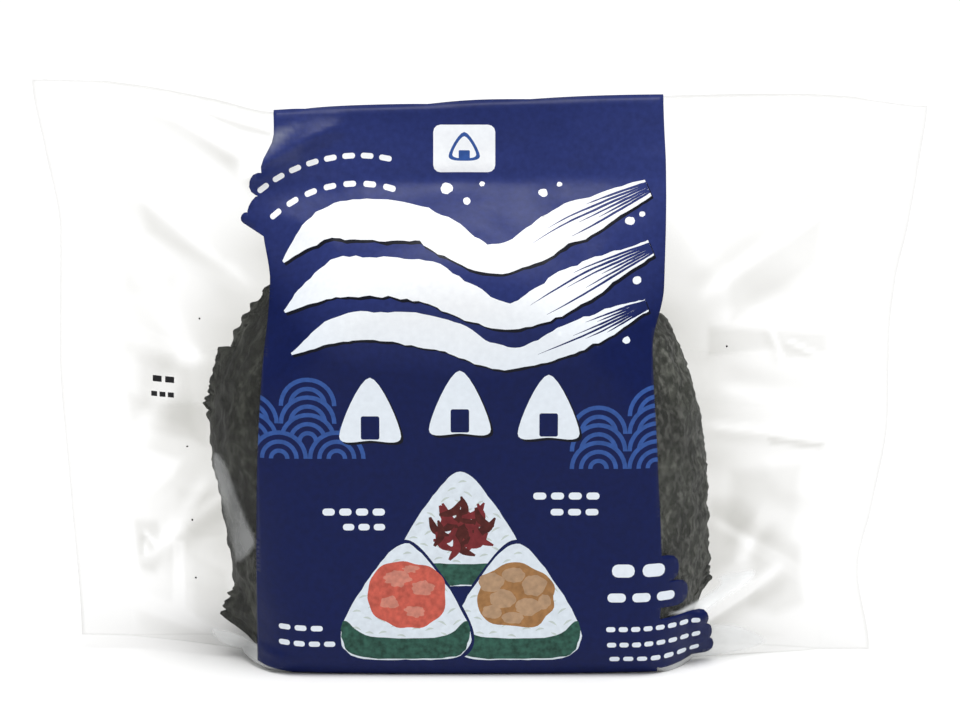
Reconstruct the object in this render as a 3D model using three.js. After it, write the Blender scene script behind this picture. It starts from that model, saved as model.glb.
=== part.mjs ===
// A shut pillow pack of clear film that holds one large rice ball, standing on its flat base.
// Millimetres, +X to the viewer's right, the shown front towards -Y, +Z up, floor at z = 0.
import * as THREE from "three";

// Outline of the flat pack as seen from the front: [height z, x] down each end seal.
const LEFT_EDGE = [
  [1.6, -80.8],
  [35, -82.6],
  [60, -84.0],
  [86, -83.4],
  [102, -86.0],
  [115.6, -88.2],
];
const RIGHT_EDGE = [
  [0, 79.0],
  [17, 76.4],
  [30, 79.0],
  [49, 81.8],
  [64, 81.7],
  [76, 82.7],
  [86, 84.8],
  [102, 87.2],
  [110.4, 88.2],
];
// Top fold and bottom edge of the film: [share of the width from the left, height z].
const TOP_EDGE = [
  [0, 115.6],
  [0.06, 115.4],
  [0.12, 114.2],
  [0.2, 111.4],
  [0.265, 108.8],
  [0.31, 109.4],
  [0.42, 110.1],
  [0.52, 111.0],
  [0.71, 112.0],
  [0.86, 112.5],
  [0.91, 112.1],
  [1, 110.4],
];
const BOTTOM_EDGE = [
  [0, 3.0],
  [0.12, 2.4],
  [0.2, 1.5],
  [0.275, 0.2],
  [0.31, 0],
  [1, 0],
];

// The rice ball inside, which the film is drawn over: [x, z] round its rounded triangle.
const BALL_OUTLINE = [
  [-40, -7],
  [-48.5, 8],
  [-51.5, 24],
  [-54.5, 43],
  [-52, 58],
  [-45, 71],
  [-33, 84],
  [-16, 90.5],
  [3, 90.5],
  [20, 84],
  [34, 72.5],
  [43, 57],
  [46, 38],
  [46.5, 20],
  [44, 3],
  [34, -7],
];
const BALL_HALF_THICKNESS = 21.5;
const BALL_EDGE_RADIUS = 17;
const BALL_CURVE_STEPS = 6;

// The film: end seals, top fold, pinched strip under the fold, and the folded base.
const SEAL_WIDTH = 10.5;
const SEAL_HALF_THICKNESS = 0.5;
const FOLD_HALF_THICKNESS = 0.9;
const FOLD_ROUNDING = 0.6;
const PINCH_HEIGHT = 15;
const PINCH_SLOPE = 0.2;
const BASE_HALF_DEPTH = 16;
const BASE_FULL_HALF_WIDTH = 30;
const BASE_CORNER_DEPTH = 6;
const BASE_CORNER_X = 45;

// The printed band, a skin that lies on the film: [height z, x] down its two side edges.
const BAND_LEFT = [
  [0, -44.2],
  [36, -43.6],
  [60, -42.4],
  [77, -41.0],
  [87, -42.6],
  [99, -42.9],
  [105, -40.6],
  [113, -40.8],
];
const BAND_RIGHT = [
  [0, 35.0],
  [20, 35.6],
  [43, 34.6],
  [65, 33.6],
  [76, 36.0],
  [97, 36.6],
  [113, 36.1],
];
const BAND_GAP = 0.5;
const BAND_THICKNESS = 0.45;
const BAND_FLOOR_CLEARANCE = 1.2;

// Mesh density.
const MIDDLE_STATIONS = 42;
const SEAL_STATIONS = 2;
const ROWS = 25;
const ROW_CROWDING = 0.45;
const BASE_STRIPS = 6;
const BAND_STATIONS = 19;
const RELAX_ROUNDS = 1200;

const lerp = (a, b, t) => a + (b - a) * t;
const clamp01 = (t) => Math.min(1, Math.max(0, t));
const smooth = (t) => clamp01(t) ** 2 * (3 - 2 * clamp01(t));

// Smooth curve through [position, value] pairs, without overshoot between them.
function curveAt(points, position) {
  const last = points.length - 1;
  if (position <= points[0][0]) return points[0][1];
  if (position >= points[last][0]) return points[last][1];
  const i = points.findIndex((p) => p[0] > position) - 1;
  const slope = (k) => {
    if (k <= 0 || k >= last) return 0;
    const before = (points[k][1] - points[k - 1][1]) / (points[k][0] - points[k - 1][0]);
    const after = (points[k + 1][1] - points[k][1]) / (points[k + 1][0] - points[k][0]);
    return before * after <= 0 ? 0 : (2 * before * after) / (before + after);
  };
  const width = points[i + 1][0] - points[i][0];
  const t = (position - points[i][0]) / width;
  const rise = points[i + 1][1] - points[i][1];
  const startBend = width * slope(i);
  const endBend = width * slope(i + 1);
  return (
    points[i][1] +
    startBend * t +
    (3 * rise - 2 * startBend - endBend) * t ** 2 +
    (startBend + endBend - 2 * rise) * t ** 3
  );
}

// The rice ball's outline as a closed smooth polygon.
function ballPolygon() {
  const corners = BALL_OUTLINE.map(([x, z]) => new THREE.Vector3(x, 0, z));
  const curve = new THREE.CatmullRomCurve3(corners, true, "centripetal");
  return curve.getPoints(BALL_OUTLINE.length * BALL_CURVE_STEPS).slice(0, -1);
}

// Half thickness of the rice ball at one place seen from the front, nought outside it.
function ballHalfThickness(polygon, x, z) {
  let nearest = Infinity;
  let inside = false;
  polygon.forEach((a, i) => {
    const b = polygon[(i + 1) % polygon.length];
    const along = ((x - a.x) * (b.x - a.x) + (z - a.z) * (b.z - a.z)) / a.distanceToSquared(b);
    const t = clamp01(along);
    nearest = Math.min(nearest, Math.hypot(x - lerp(a.x, b.x, t), z - lerp(a.z, b.z, t)));
    const crosses = a.z > z !== b.z > z;
    if (crosses && x < lerp(a.x, b.x, (z - a.z) / (b.z - a.z))) inside = !inside;
  });
  if (!inside) return 0;
  const short = 1 - Math.min(1, nearest / BALL_EDGE_RADIUS);
  return BALL_HALF_THICKNESS * Math.sqrt(1 - short * short);
}

// Half depth of the folded base at x: full under the rice ball, narrow out to the seals.
function baseHalfDepth(x, sealX) {
  const out = Math.abs(x);
  if (out < BASE_CORNER_X) {
    const t = (out - BASE_FULL_HALF_WIDTH) / (BASE_CORNER_X - BASE_FULL_HALF_WIDTH);
    return lerp(BASE_HALF_DEPTH, BASE_CORNER_DEPTH, smooth(t));
  }
  const t = (out - BASE_CORNER_X) / (Math.abs(sealX) - BASE_CORNER_X);
  return lerp(BASE_CORNER_DEPTH, SEAL_HALF_THICKNESS, clamp01(t));
}

// Shares of the width at which the film is sampled, with the end seals as their own strips.
function widthShares() {
  const shares = [];
  const seal = SEAL_WIDTH / (curveAt(RIGHT_EDGE, 50) - curveAt(LEFT_EDGE, 50));
  for (let i = 0; i < SEAL_STATIONS; i++) shares.push((seal * i) / SEAL_STATIONS);
  for (let i = 0; i <= MIDDLE_STATIONS; i++) {
    shares.push(lerp(seal, 1 - seal, i / MIDDLE_STATIONS));
  }
  for (let i = 1; i <= SEAL_STATIONS; i++) shares.push(1 - seal + (seal * i) / SEAL_STATIONS);
  return shares;
}

// Shares of the height at which the film is sampled, closer together at both ends.
function heightShares() {
  return Array.from({ length: ROWS + 1 }, (_, j) => {
    const t = j / ROWS;
    return t - (ROW_CROWDING * Math.sin(2 * Math.PI * t)) / (2 * Math.PI);
  });
}

// The film as a grid: for each station and row its x, z and half thickness.
function filmGrid() {
  const polygon = ballPolygon();
  const heights = heightShares();
  const grid = widthShares().map((share) => {
    const top = curveAt(TOP_EDGE, share);
    const bottom = curveAt(BOTTOM_EDGE, share);
    return heights.map((height) => {
      const z = lerp(bottom, top, height);
      const x = lerp(curveAt(LEFT_EDGE, z), curveAt(RIGHT_EDGE, z), share);
      return { x, z, top, ball: ballHalfThickness(polygon, x, z), half: 0, held: false };
    });
  });
  holdEdges(grid);
  drawFilmTight(grid);
  return grid;
}

// Sets the half thickness where the film is sealed, folded or pinched.
function holdEdges(grid) {
  const lastStation = grid.length - 1;
  grid.forEach((rows, i) => {
    const sealed = i <= SEAL_STATIONS || i >= lastStation - SEAL_STATIONS;
    const sealX = grid[i < lastStation / 2 ? SEAL_STATIONS : lastStation - SEAL_STATIONS][0].x;
    rows.forEach((p, j) => {
      if (sealed) p.half = SEAL_HALF_THICKNESS;
      else if (j === 0) p.half = baseHalfDepth(p.x, sealX);
      else if (p.top - p.z < PINCH_HEIGHT) p.half = pinchedHalf(p, i, lastStation);
      else p.half = p.ball;
      p.held = sealed || j === 0 || p.top - p.z < PINCH_HEIGHT;
    });
  });
}

// Half thickness of the strip under the top fold, which closes towards the end seals.
function pinchedHalf(p, i, lastStation) {
  const fromSeal = Math.min(i, lastStation - i) - SEAL_STATIONS;
  const opening = smooth(fromSeal / (MIDDLE_STATIONS / 5));
  const fold = lerp(SEAL_HALF_THICKNESS, FOLD_HALF_THICKNESS, opening);
  return fold + (p.top - p.z) * PINCH_SLOPE * opening;
}

// Relaxes the film like a stretched skin that rests on the rice ball and its held edges.
function drawFilmTight(grid) {
  for (let round = 0; round < RELAX_ROUNDS; round++) {
    for (let i = 1; i < grid.length - 1; i++) {
      for (let j = 1; j < grid[i].length - 1; j++) {
        const p = grid[i][j];
        if (p.held) continue;
        const across = (grid[i - 1][j].half + grid[i + 1][j].half) / 2;
        const below = grid[i][j - 1];
        const above = grid[i][j + 1];
        const upright = lerp(below.half, above.half, (p.z - below.z) / (above.z - below.z));
        p.half = Math.max(p.ball, (across + upright) / 2);
      }
    }
  }
}

// The points at one station: up the front, over the fold and down the back.
function loopAt(rows) {
  const front = rows.map((p) => new THREE.Vector3(p.x, -p.half, p.z));
  const back = rows.map((p) => new THREE.Vector3(p.x, p.half, p.z)).reverse();
  const fold = rows[rows.length - 1];
  const crest = new THREE.Vector3(fold.x, 0, fold.z + FOLD_ROUNDING);
  return [...front, crest, ...back];
}

// A station's points all the way round, with the base between the back and the front.
function closedLoop(rows) {
  const loop = loopAt(rows);
  const base = rows[0];
  for (let k = 1; k < BASE_STRIPS; k++) {
    loop.push(new THREE.Vector3(base.x, lerp(base.half, -base.half, k / BASE_STRIPS), base.z));
  }
  return loop;
}

function makeMesh(name, colour, roughness, points, faces) {
  const geometry = new THREE.BufferGeometry().setFromPoints(points);
  geometry.setIndex(faces);
  geometry.computeVertexNormals();
  const material = new THREE.MeshStandardMaterial({ color: colour, roughness });
  const mesh = new THREE.Mesh(geometry, material);
  mesh.name = name;
  return mesh;
}

// Joins neighbouring loops with quads, each cut into two triangles that face outwards.
function joinLoops(faces, loopCount, loopSize, start, wrap, outwards) {
  const steps = wrap ? loopSize : loopSize - 1;
  for (let i = 0; i < loopCount - 1; i++) {
    for (let k = 0; k < steps; k++) {
      const next = (k + 1) % loopSize;
      const a = start + i * loopSize + k;
      const b = start + i * loopSize + next;
      const c = a + loopSize;
      const d = b + loopSize;
      if (outwards) faces.push(a, c, d, a, d, b);
      else faces.push(a, d, c, a, b, d);
    }
  }
}

// Closes one end of the pack between the front and the back of its last loop.
function capEnd(faces, loopSize, rowCount, start, flip) {
  const ring = Array.from({ length: loopSize }, (_, k) => start + k);
  const crest = rowCount;
  const corners = [];
  for (let j = 0; j < rowCount - 1; j++) {
    const front = ring[j];
    const frontUp = ring[j + 1];
    const back = ring[2 * rowCount - j];
    const backUp = ring[2 * rowCount - j - 1];
    corners.push([front, frontUp, backUp], [front, backUp, back]);
  }
  corners.push([ring[crest - 1], ring[crest], ring[crest + 1]]);
  const under = [ring[2 * rowCount], ...ring.slice(2 * rowCount + 1), ring[0]];
  for (let k = 1; k < under.length - 1; k++) corners.push([under[0], under[k], under[k + 1]]);
  corners.forEach(([a, b, c]) => (flip ? faces.push(a, c, b) : faces.push(a, b, c)));
}

// The shut pouch with the rice ball in it, as one solid.
function makePouch(grid) {
  const loops = grid.map(closedLoop);
  const loopSize = loops[0].length;
  const rowCount = grid[0].length;
  const faces = [];
  joinLoops(faces, loops.length, loopSize, 0, true, true);
  capEnd(faces, loopSize, rowCount, 0, false);
  capEnd(faces, loopSize, rowCount, (loops.length - 1) * loopSize, true);
  return makeMesh("pouch", 0xe4e6e4, 0.25, loops.flat(), faces);
}

// A loop of the film at a share of the band's width, found between neighbouring stations.
function bandLoopAt(grid, share) {
  return grid[0].map((_, j) => {
    const z = grid[Math.floor(grid.length / 2)][j].z;
    const wanted = lerp(curveAt(BAND_LEFT, z), curveAt(BAND_RIGHT, z), share);
    const i = grid.findIndex((rows) => rows[j].x > wanted);
    const a = grid[i - 1][j];
    const b = grid[i][j];
    const t = (wanted - a.x) / (b.x - a.x);
    return { x: wanted, z: lerp(a.z, b.z, t), half: lerp(a.half, b.half, t) };
  });
}

// The rows from just above the floor up, so that the band never meets the floor.
function clearOfFloor(rows) {
  const [base, next] = rows;
  const t = (BAND_FLOOR_CLEARANCE - base.z) / (next.z - base.z);
  const rim = { ...base, z: BAND_FLOOR_CLEARANCE, half: lerp(base.half, next.half, t) };
  return [rim, ...rows.slice(1)];
}

// The printed band: a thin skin on the front, over the fold and down the back.
function makeBand(grid) {
  const film = Array.from({ length: BAND_STATIONS + 1 }, (_, m) =>
    loopAt(clearOfFloor(bandLoopAt(grid, m / BAND_STATIONS))),
  );
  const inner = offsetLoops(film, BAND_GAP);
  const outer = offsetLoops(film, BAND_GAP + BAND_THICKNESS);
  const size = film[0].length;
  const outerStart = film.length * size;
  const faces = [];
  joinLoops(faces, film.length, size, 0, false, false);
  joinLoops(faces, film.length, size, outerStart, false, true);
  closeRims(faces, film.length, size, outerStart);
  return makeMesh("printed_band", 0x232d6c, 0.4, [...inner.flat(), ...outer.flat()], faces);
}

// Moves each point of a sheet of loops outwards along the sheet's normal.
function offsetLoops(loops, distance) {
  const at = (i, k) => loops[Math.min(loops.length - 1, Math.max(0, i))][
    Math.min(loops[0].length - 1, Math.max(0, k))];
  return loops.map((loop, i) => loop.map((p, k) => {
    const across = at(i + 1, k).clone().sub(at(i - 1, k));
    const round = at(i, k + 1).clone().sub(at(i, k - 1));
    return p.clone().addScaledVector(across.cross(round).normalize(), distance);
  }));
}

// Joins the inner and the outer sheet along the four rims of the band.
function closeRims(faces, loopCount, size, outerStart) {
  const wall = (a, b) => faces.push(a, b, b + outerStart, a, b + outerStart, a + outerStart);
  for (let k = 0; k < size - 1; k++) {
    wall(k + 1, k);
    wall((loopCount - 1) * size + k, (loopCount - 1) * size + k + 1);
  }
  for (let i = 0; i < loopCount - 1; i++) {
    wall(i * size, (i + 1) * size);
    wall((i + 1) * size + size - 1, i * size + size - 1);
  }
}

const grid = filmGrid();
const pack = new THREE.Group();
pack.add(makePouch(grid), makeBand(grid));

export default pack;
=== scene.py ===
"""A shut clear film pack that holds one large seaweed-wrapped rice ball.

Lengths are millimetres until a mesh is written, which is in metres. The front faces -Y.
"""

import logging
import math
from dataclasses import dataclass, field
from enum import Enum

import bpy
import numpy as np
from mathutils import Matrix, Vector, geometry, noise


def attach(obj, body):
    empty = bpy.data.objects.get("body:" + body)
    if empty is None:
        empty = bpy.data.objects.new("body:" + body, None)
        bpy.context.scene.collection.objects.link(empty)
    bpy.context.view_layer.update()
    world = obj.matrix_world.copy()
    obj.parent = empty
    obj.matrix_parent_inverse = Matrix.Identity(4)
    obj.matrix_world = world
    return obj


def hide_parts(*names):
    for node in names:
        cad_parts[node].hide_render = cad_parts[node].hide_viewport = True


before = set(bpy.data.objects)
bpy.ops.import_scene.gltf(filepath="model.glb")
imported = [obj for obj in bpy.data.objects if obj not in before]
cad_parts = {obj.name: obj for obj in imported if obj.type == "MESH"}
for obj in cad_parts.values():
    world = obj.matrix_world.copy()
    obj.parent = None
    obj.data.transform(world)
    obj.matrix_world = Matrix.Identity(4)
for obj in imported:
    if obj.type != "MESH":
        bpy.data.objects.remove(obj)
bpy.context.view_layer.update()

MM = 0.001
GOLDEN_ANGLE = 2.399963
Array = np.ndarray
Triple = tuple[float, float, float]
Colour = Triple
Faces = list[tuple[int, ...]]
Pair = tuple[float, float]
Pairs = tuple[Pair, ...]
Widths = tuple[float, ...]
Material = bpy.types.Material
Node = bpy.types.Node
Piece = bpy.types.Object
Socket = bpy.types.NodeSocket

log = logging.getLogger("pack")


class Side(Enum):
    """The side of the pack that a sheet lies on, as its direction along Y."""

    FRONT = -1
    BACK = 1


class Ink(Enum):
    """The colour fields of the print, in the order of the band's material slots."""

    NAVY = 0
    WHITE = 1
    WAVE = 2
    RICE = 3
    GRAIN = 4
    NORI = 5
    CORAL = 6
    MAROON = 7
    BEIGE = 8
    CREASE = 9
    SHADE = 10
    PINK = 11
    RUSSET = 12


def smooth_curve(points: Pairs, at: Array) -> Array:
    """Values on a smooth curve through points, without overshoot between them.

    Args:
        points: (position, value) pairs in rising order of position.
        at: positions to read.

    Returns:
        The values there, held constant beyond both ends.
    """
    position, value = np.array(points, dtype=float).T
    at = np.clip(np.asarray(at, dtype=float), position[0], position[-1])
    rise = np.diff(value) / np.diff(position)
    before, after = rise[:-1], rise[1:]
    total = np.where(np.abs(before + after) < 1e-9, 1.0, before + after)
    slope = np.zeros_like(value)
    slope[1:-1] = np.where(before * after > 0, 2 * before * after / total, 0.0)
    i = np.clip(np.searchsorted(position, at, side="right") - 1, 0, len(position) - 2)
    width = position[i + 1] - position[i]
    t = (at - position[i]) / width
    climb = value[i + 1] - value[i]
    start, end = width * slope[i], width * slope[i + 1]
    return value[i] + start * t + (3 * climb - 2 * start - end) * t**2 + (start + end - 2 * climb) * t**3


def catmull(values: Array, positions: Array) -> Array:
    """Rows between the rows of an array, on smooth curves.

    Args:
        values: array whose first axis is followed.
        positions: row numbers to read, with fractions.

    Returns:
        One row for each position.
    """
    last = len(values) - 1
    i = np.clip(np.floor(positions).astype(int), 0, last - 1)
    t = (positions - i).reshape(-1, *([1] * (values.ndim - 1)))
    p, q, r, s = (values[np.clip(i + k, 0, last)] for k in (-1, 0, 1, 2))
    bend = 2 * p - 5 * q + 4 * r - s
    return 0.5 * (2 * q + (r - p) * t + bend * t**2 + (3 * q - p - 3 * r + s) * t**3)


def closed_curve(corners: Pairs, steps: int) -> Array:
    """A closed smooth polygon through corners.

    Args:
        corners: (x, z) corners in order.
        steps: points from one corner to the next.

    Returns:
        The polygon's points, one per row.
    """
    ring = np.array(corners + corners[:3], dtype=float)
    at = 1 + np.arange(len(corners) * steps) / steps
    return catmull(ring, at)


def noise_at(x: Array, z: Array, scale_x: float, scale_z: float, seed: float) -> Array:
    """Smooth noise over a sheet.

    Args:
        x: places across.
        z: places up, the same shape as x.
        scale_x: size of a wave across.
        scale_z: size of a wave up.
        seed: picks the pattern.

    Returns:
        Values from about -1 to 1 in the shape of x.
    """
    flat = zip((x / scale_x).ravel(), (z / scale_z).ravel())
    values = [noise.noise(Vector((a, b, seed))) for a, b in flat]
    return np.array(values).reshape(x.shape)


def smooth_step(t: Array) -> Array:
    """A soft ramp from nought to one as t goes from nought to one."""
    t = np.clip(t, 0.0, 1.0)
    return t * t * (3 - 2 * t)


def inside_polygon(x: Array, z: Array, polygon: Array) -> Array:
    """Whether each place lies in a polygon.

    Args:
        x: places across.
        z: places up.
        polygon: (x, z) corners, one per row.

    Returns:
        True for each place that lies inside.
    """
    result = np.zeros(x.shape, dtype=bool)
    for (ax, az), (bx, bz) in zip(polygon, np.roll(polygon, -1, axis=0)):
        if az == bz:
            continue
        crosses = (az > z) != (bz > z)
        result ^= crosses & (x < ax + (bx - ax) * (z - az) / (bz - az))
    return result


def edge_distance(x: Array, z: Array, polygon: Array) -> Array:
    """Distance from each place to the nearest edge of a polygon.

    Args:
        x: places across.
        z: places up.
        polygon: (x, z) corners, one per row.

    Returns:
        The distances, in the shape of x.
    """
    nearest = np.full(x.shape, np.inf)
    for (ax, az), (bx, bz) in zip(polygon, np.roll(polygon, -1, axis=0)):
        dx, dz = bx - ax, bz - az
        t = np.clip(((x - ax) * dx + (z - az) * dz) / (dx * dx + dz * dz), 0, 1)
        nearest = np.minimum(nearest, np.hypot(x - ax - t * dx, z - az - t * dz))
    return nearest


def spiral(count: int, reach: Pair) -> Pairs:
    """Spreads places evenly over an ellipse, by the golden angle.

    Args:
        count: number of places.
        reach: half width and half height of the ellipse.

    Returns:
        The places, from the middle out.
    """
    turns = [(GOLDEN_ANGLE * k, math.sqrt((k + 0.5) / count)) for k in range(count)]
    return tuple((reach[0] * out * math.cos(a), reach[1] * out * math.sin(a)) for a, out in turns)


def split_edges(polygon: Array, longest: float) -> Array:
    """Splits the long edges of a polygon.

    Args:
        polygon: its corners, one per row.
        longest: length that no edge may pass.

    Returns:
        The corners with the new points between them.
    """
    points = []
    for start, end in zip(polygon, np.roll(polygon, -1, axis=0)):
        parts = max(1, math.ceil(np.linalg.norm(end - start) / longest))
        points += [start + (end - start) * part / parts for part in range(parts)]
    return np.array(points)


def grid_faces(lines: int, size: int, closed: bool = False, flip: bool = False, start: int = 0) -> Faces:
    """Makes the four-cornered faces between lines of points.

    Args:
        lines: number of lines.
        size: points in each line.
        closed: whether a line's last point is joined to its first.
        flip: whether the faces look the other way.
        start: number of the first point.

    Returns:
        The faces, line by line.
    """
    faces = []
    for line in range(lines - 1):
        for k in range(size if closed else size - 1):
            a = start + line * size + k
            b = start + line * size + (k + 1) % size
            faces.append((a, b, b + size, a + size) if flip else (a, a + size, b + size, b))
    return faces


def make_object(
    name: str, points: Array, faces: Faces, materials: list[Material], face_slots: list[int] | None = None
) -> Piece:
    """Makes a smooth-shaded mesh object from points in millimetres.

    Args:
        name: the piece's name.
        points: one point per row.
        faces: corner numbers of each face.
        materials: the material slots.
        face_slots: the slot of each face, or None for the first.

    Returns:
        The new object, linked to the scene.
    """
    mesh = bpy.data.meshes.new(name)
    mesh.from_pydata((np.asarray(points) * MM).tolist(), [], faces)
    for material in materials:
        mesh.materials.append(material)
    if face_slots is not None:
        mesh.polygons.foreach_set("material_index", face_slots)
    mesh.polygons.foreach_set("use_smooth", [True] * len(mesh.polygons))
    mesh.validate()
    mesh.update()
    piece = bpy.data.objects.new(name, mesh)
    bpy.context.scene.collection.objects.link(piece)
    return piece


def read_vectors(piece: Piece, name: str) -> Array:
    """Reads one vector of each point of a piece, such as co or normal.

    Args:
        piece: the piece.
        name: the vector's name.

    Returns:
        One vector per row.
    """
    values = np.empty(len(piece.data.vertices) * 3)
    piece.data.vertices.foreach_get(name, values)
    return values.reshape(-1, 3)


def paint(piece: Piece, name: str, amounts: Array) -> None:
    """Stores an amount for each point of a piece, for its finish to read by name."""
    attribute = piece.data.attributes.new(name, "FLOAT", "POINT")
    attribute.data.foreach_set("value", amounts)


def add_thickness(piece: Piece, thickness: float) -> None:
    """Gives a sheet its thickness, inwards from its outer face.

    Args:
        piece: the sheet.
        thickness: in millimetres.
    """
    solid = piece.modifiers.new("thickness", "SOLIDIFY")
    solid.thickness = thickness * MM
    solid.offset = -1


def settle(piece: Piece, node: str | None = None) -> None:
    """Puts a finished piece on the root body and hides the frame's solid that it stands for.

    Args:
        piece: the piece.
        node: the frame's solid that it stands for, if any.
    """
    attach(piece, "root")
    if node is not None:
        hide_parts(node)
    log.info("%s: %d faces", piece.name, len(piece.data.polygons))


def grey(level: float) -> Colour:
    """A grey of one level."""
    return (level, level, level)


class NodeSheet:
    """The node tree of one new material, with short ways to add and join nodes."""

    def __init__(self, name: str) -> None:
        """Makes an empty material.

        Args:
            name: the material's name.
        """
        self.material = bpy.data.materials.new(name)
        self.material.use_nodes = True
        self.material.node_tree.nodes.clear()
        self.place = self.add("ShaderNodeTexCoord").outputs["Object"]

    def add(self, kind: str, inputs: dict[str | int, object] | None = None, **settings: object) -> Node:
        """Adds a node.

        Args:
            kind: the node's type.
            inputs: the value or socket of each input that is set, by its name or number.
            settings: attributes to set on the node.

        Returns:
            The node.
        """
        tree = self.material.node_tree
        node = tree.nodes.new(kind)
        for key, value in settings.items():
            setattr(node, key, value)
        for key, value in (inputs or {}).items():
            if isinstance(value, Socket):
                tree.links.new(value, node.inputs[key])
            else:
                node.inputs[key].default_value = value
        return node

    def noise(self, scale: float, detail: float, stretch: Triple = (1, 1, 1)) -> Socket:
        """Adds a noise texture.

        Args:
            scale: waves per metre.
            detail: octaves.
            stretch: how much closer the waves lie along each axis.

        Returns:
            The noise value's socket.
        """
        mapping = self.add("ShaderNodeMapping", {"Vector": self.place, "Scale": stretch})
        waves = {"Vector": mapping.outputs["Vector"], "Scale": scale, "Detail": detail}
        return self.add("ShaderNodeTexNoise", waves).outputs["Fac"]

    def math(self, kind: str, *values: float | Socket) -> Socket:
        """Adds one calculation with two or three values."""
        return self.add("ShaderNodeMath", dict(enumerate(values)), operation=kind).outputs[0]

    def axis(self, name: str) -> Socket:
        """The place along one axis, in metres."""
        return self.add("ShaderNodeSeparateXYZ", {0: self.place}).outputs[name]

    def painted(self, name: str) -> Socket:
        """The amount that is painted on the mesh under that name."""
        return self.add("ShaderNodeAttribute", attribute_name=name).outputs["Fac"]

    def ramp(self, value: Socket, stops: list[tuple[float, Colour]]) -> Socket:
        """Adds a colour ramp.

        Args:
            value: what picks the colour.
            stops: (position, colour) pairs.

        Returns:
            The colour's socket.
        """
        node = self.add("ShaderNodeValToRGB", {"Fac": value})
        elements = node.color_ramp.elements
        while len(elements) < len(stops):
            elements.new(0.5)
        for element, (position, colour) in zip(elements, stops):
            element.position = position
            element.color = (*colour, 1)
        return node.outputs["Color"]

    def bump(self, height: Socket, depth: float, strength: float) -> Socket:
        """Adds fine relief.

        Args:
            height: the relief's height from nought to one.
            depth: how tall one is, in millimetres.
            strength: share of the effect.

        Returns:
            The normal's socket.
        """
        relief = {"Height": height, "Distance": depth * MM, "Strength": strength}
        return self.add("ShaderNodeBump", relief).outputs["Normal"]

    def mix_colours(
        self, share: Socket, first: Socket, second: Socket | tuple, kind: str = "MIX"
    ) -> Socket:
        """Adds a mix of two colours.

        Args:
            share: the second colour's share.
            first: the first colour.
            second: the second colour, as a socket or as four numbers.
            kind: how they are blended.

        Returns:
            The colour's socket.
        """
        mix = {"Fac": share, "Color1": first, "Color2": second}
        return self.add("ShaderNodeMixRGB", mix, blend_type=kind).outputs["Color"]

    def mix_shaders(self, share: Socket, first: Node, second: Node) -> Node:
        """Adds a mix of two shaders, with the share of the second."""
        return self.add("ShaderNodeMixShader", {0: share, 1: first.outputs[0], 2: second.outputs[0]})

    def finish(self, shader: Node) -> Material:
        """Puts the last shader on the surface and returns the material."""
        self.add("ShaderNodeOutputMaterial", {"Surface": shader.outputs[0]})
        return self.material


@dataclass(frozen=True)
class FilmFinish:
    """Clear film: a see-through sheet with gloss and a little milky haze, tinted grey by painted shade and
    whitened by painted highlights that are stored on the mesh.
    """

    name: str
    haze_and_highlight: float
    haze_spread: float
    roughness: float
    gloss: float
    painted_shade_tint: Colour
    milk: Colour = (0.92, 0.94, 0.95)
    grazing_gloss: float = 0.12
    grazing_power: float = 5.0

    def material(self) -> Material:
        """Builds the film's material.

        Returns:
            The material.
        """
        sheet = NodeSheet(self.name)
        wrinkle = sheet.bump(sheet.noise(260, 3), depth=0.35, strength=0.5)
        drift = sheet.math("MULTIPLY_ADD", sheet.noise(48, 3, (0.7, 1.0, 1.5)), 0.7, 0.32)
        # painted shade: the stored painted shading turns the see-through tint towards the grey painted
        # shade tint
        patches = sheet.math("MULTIPLY", drift, sheet.painted("tone"))
        tint = sheet.ramp(patches, [(0.0, grey(1)), (1.0, self.painted_shade_tint)])
        clear = sheet.add("ShaderNodeBsdfTransparent", {"Color": tint})
        shine = sheet.add("ShaderNodeBsdfAnisotropic", {"Roughness": self.roughness, "Normal": wrinkle})
        facing = sheet.add("ShaderNodeLayerWeight", {"Normal": wrinkle}).outputs["Facing"]
        grazing = sheet.math("POWER", facing, self.grazing_power)
        reflect = sheet.math("MULTIPLY_ADD", grazing, self.grazing_gloss, self.gloss)
        glossy = sheet.mix_shaders(reflect, clear, shine)
        milk = sheet.add("ShaderNodeBsdfDiffuse", {"Color": (*self.milk, 1)})
        least = self.haze_and_highlight - self.haze_spread / 2
        clouds = sheet.math("MULTIPLY_ADD", sheet.noise(38, 2), self.haze_spread, least)
        # painted highlight: the stored amount adds milky white on top of the film's own faint haze
        amount = sheet.math("ADD", clouds, sheet.painted("haze_and_highlight"))
        amount.node.use_clamp = True
        return sheet.finish(sheet.mix_shaders(amount, glossy, milk))


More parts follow.
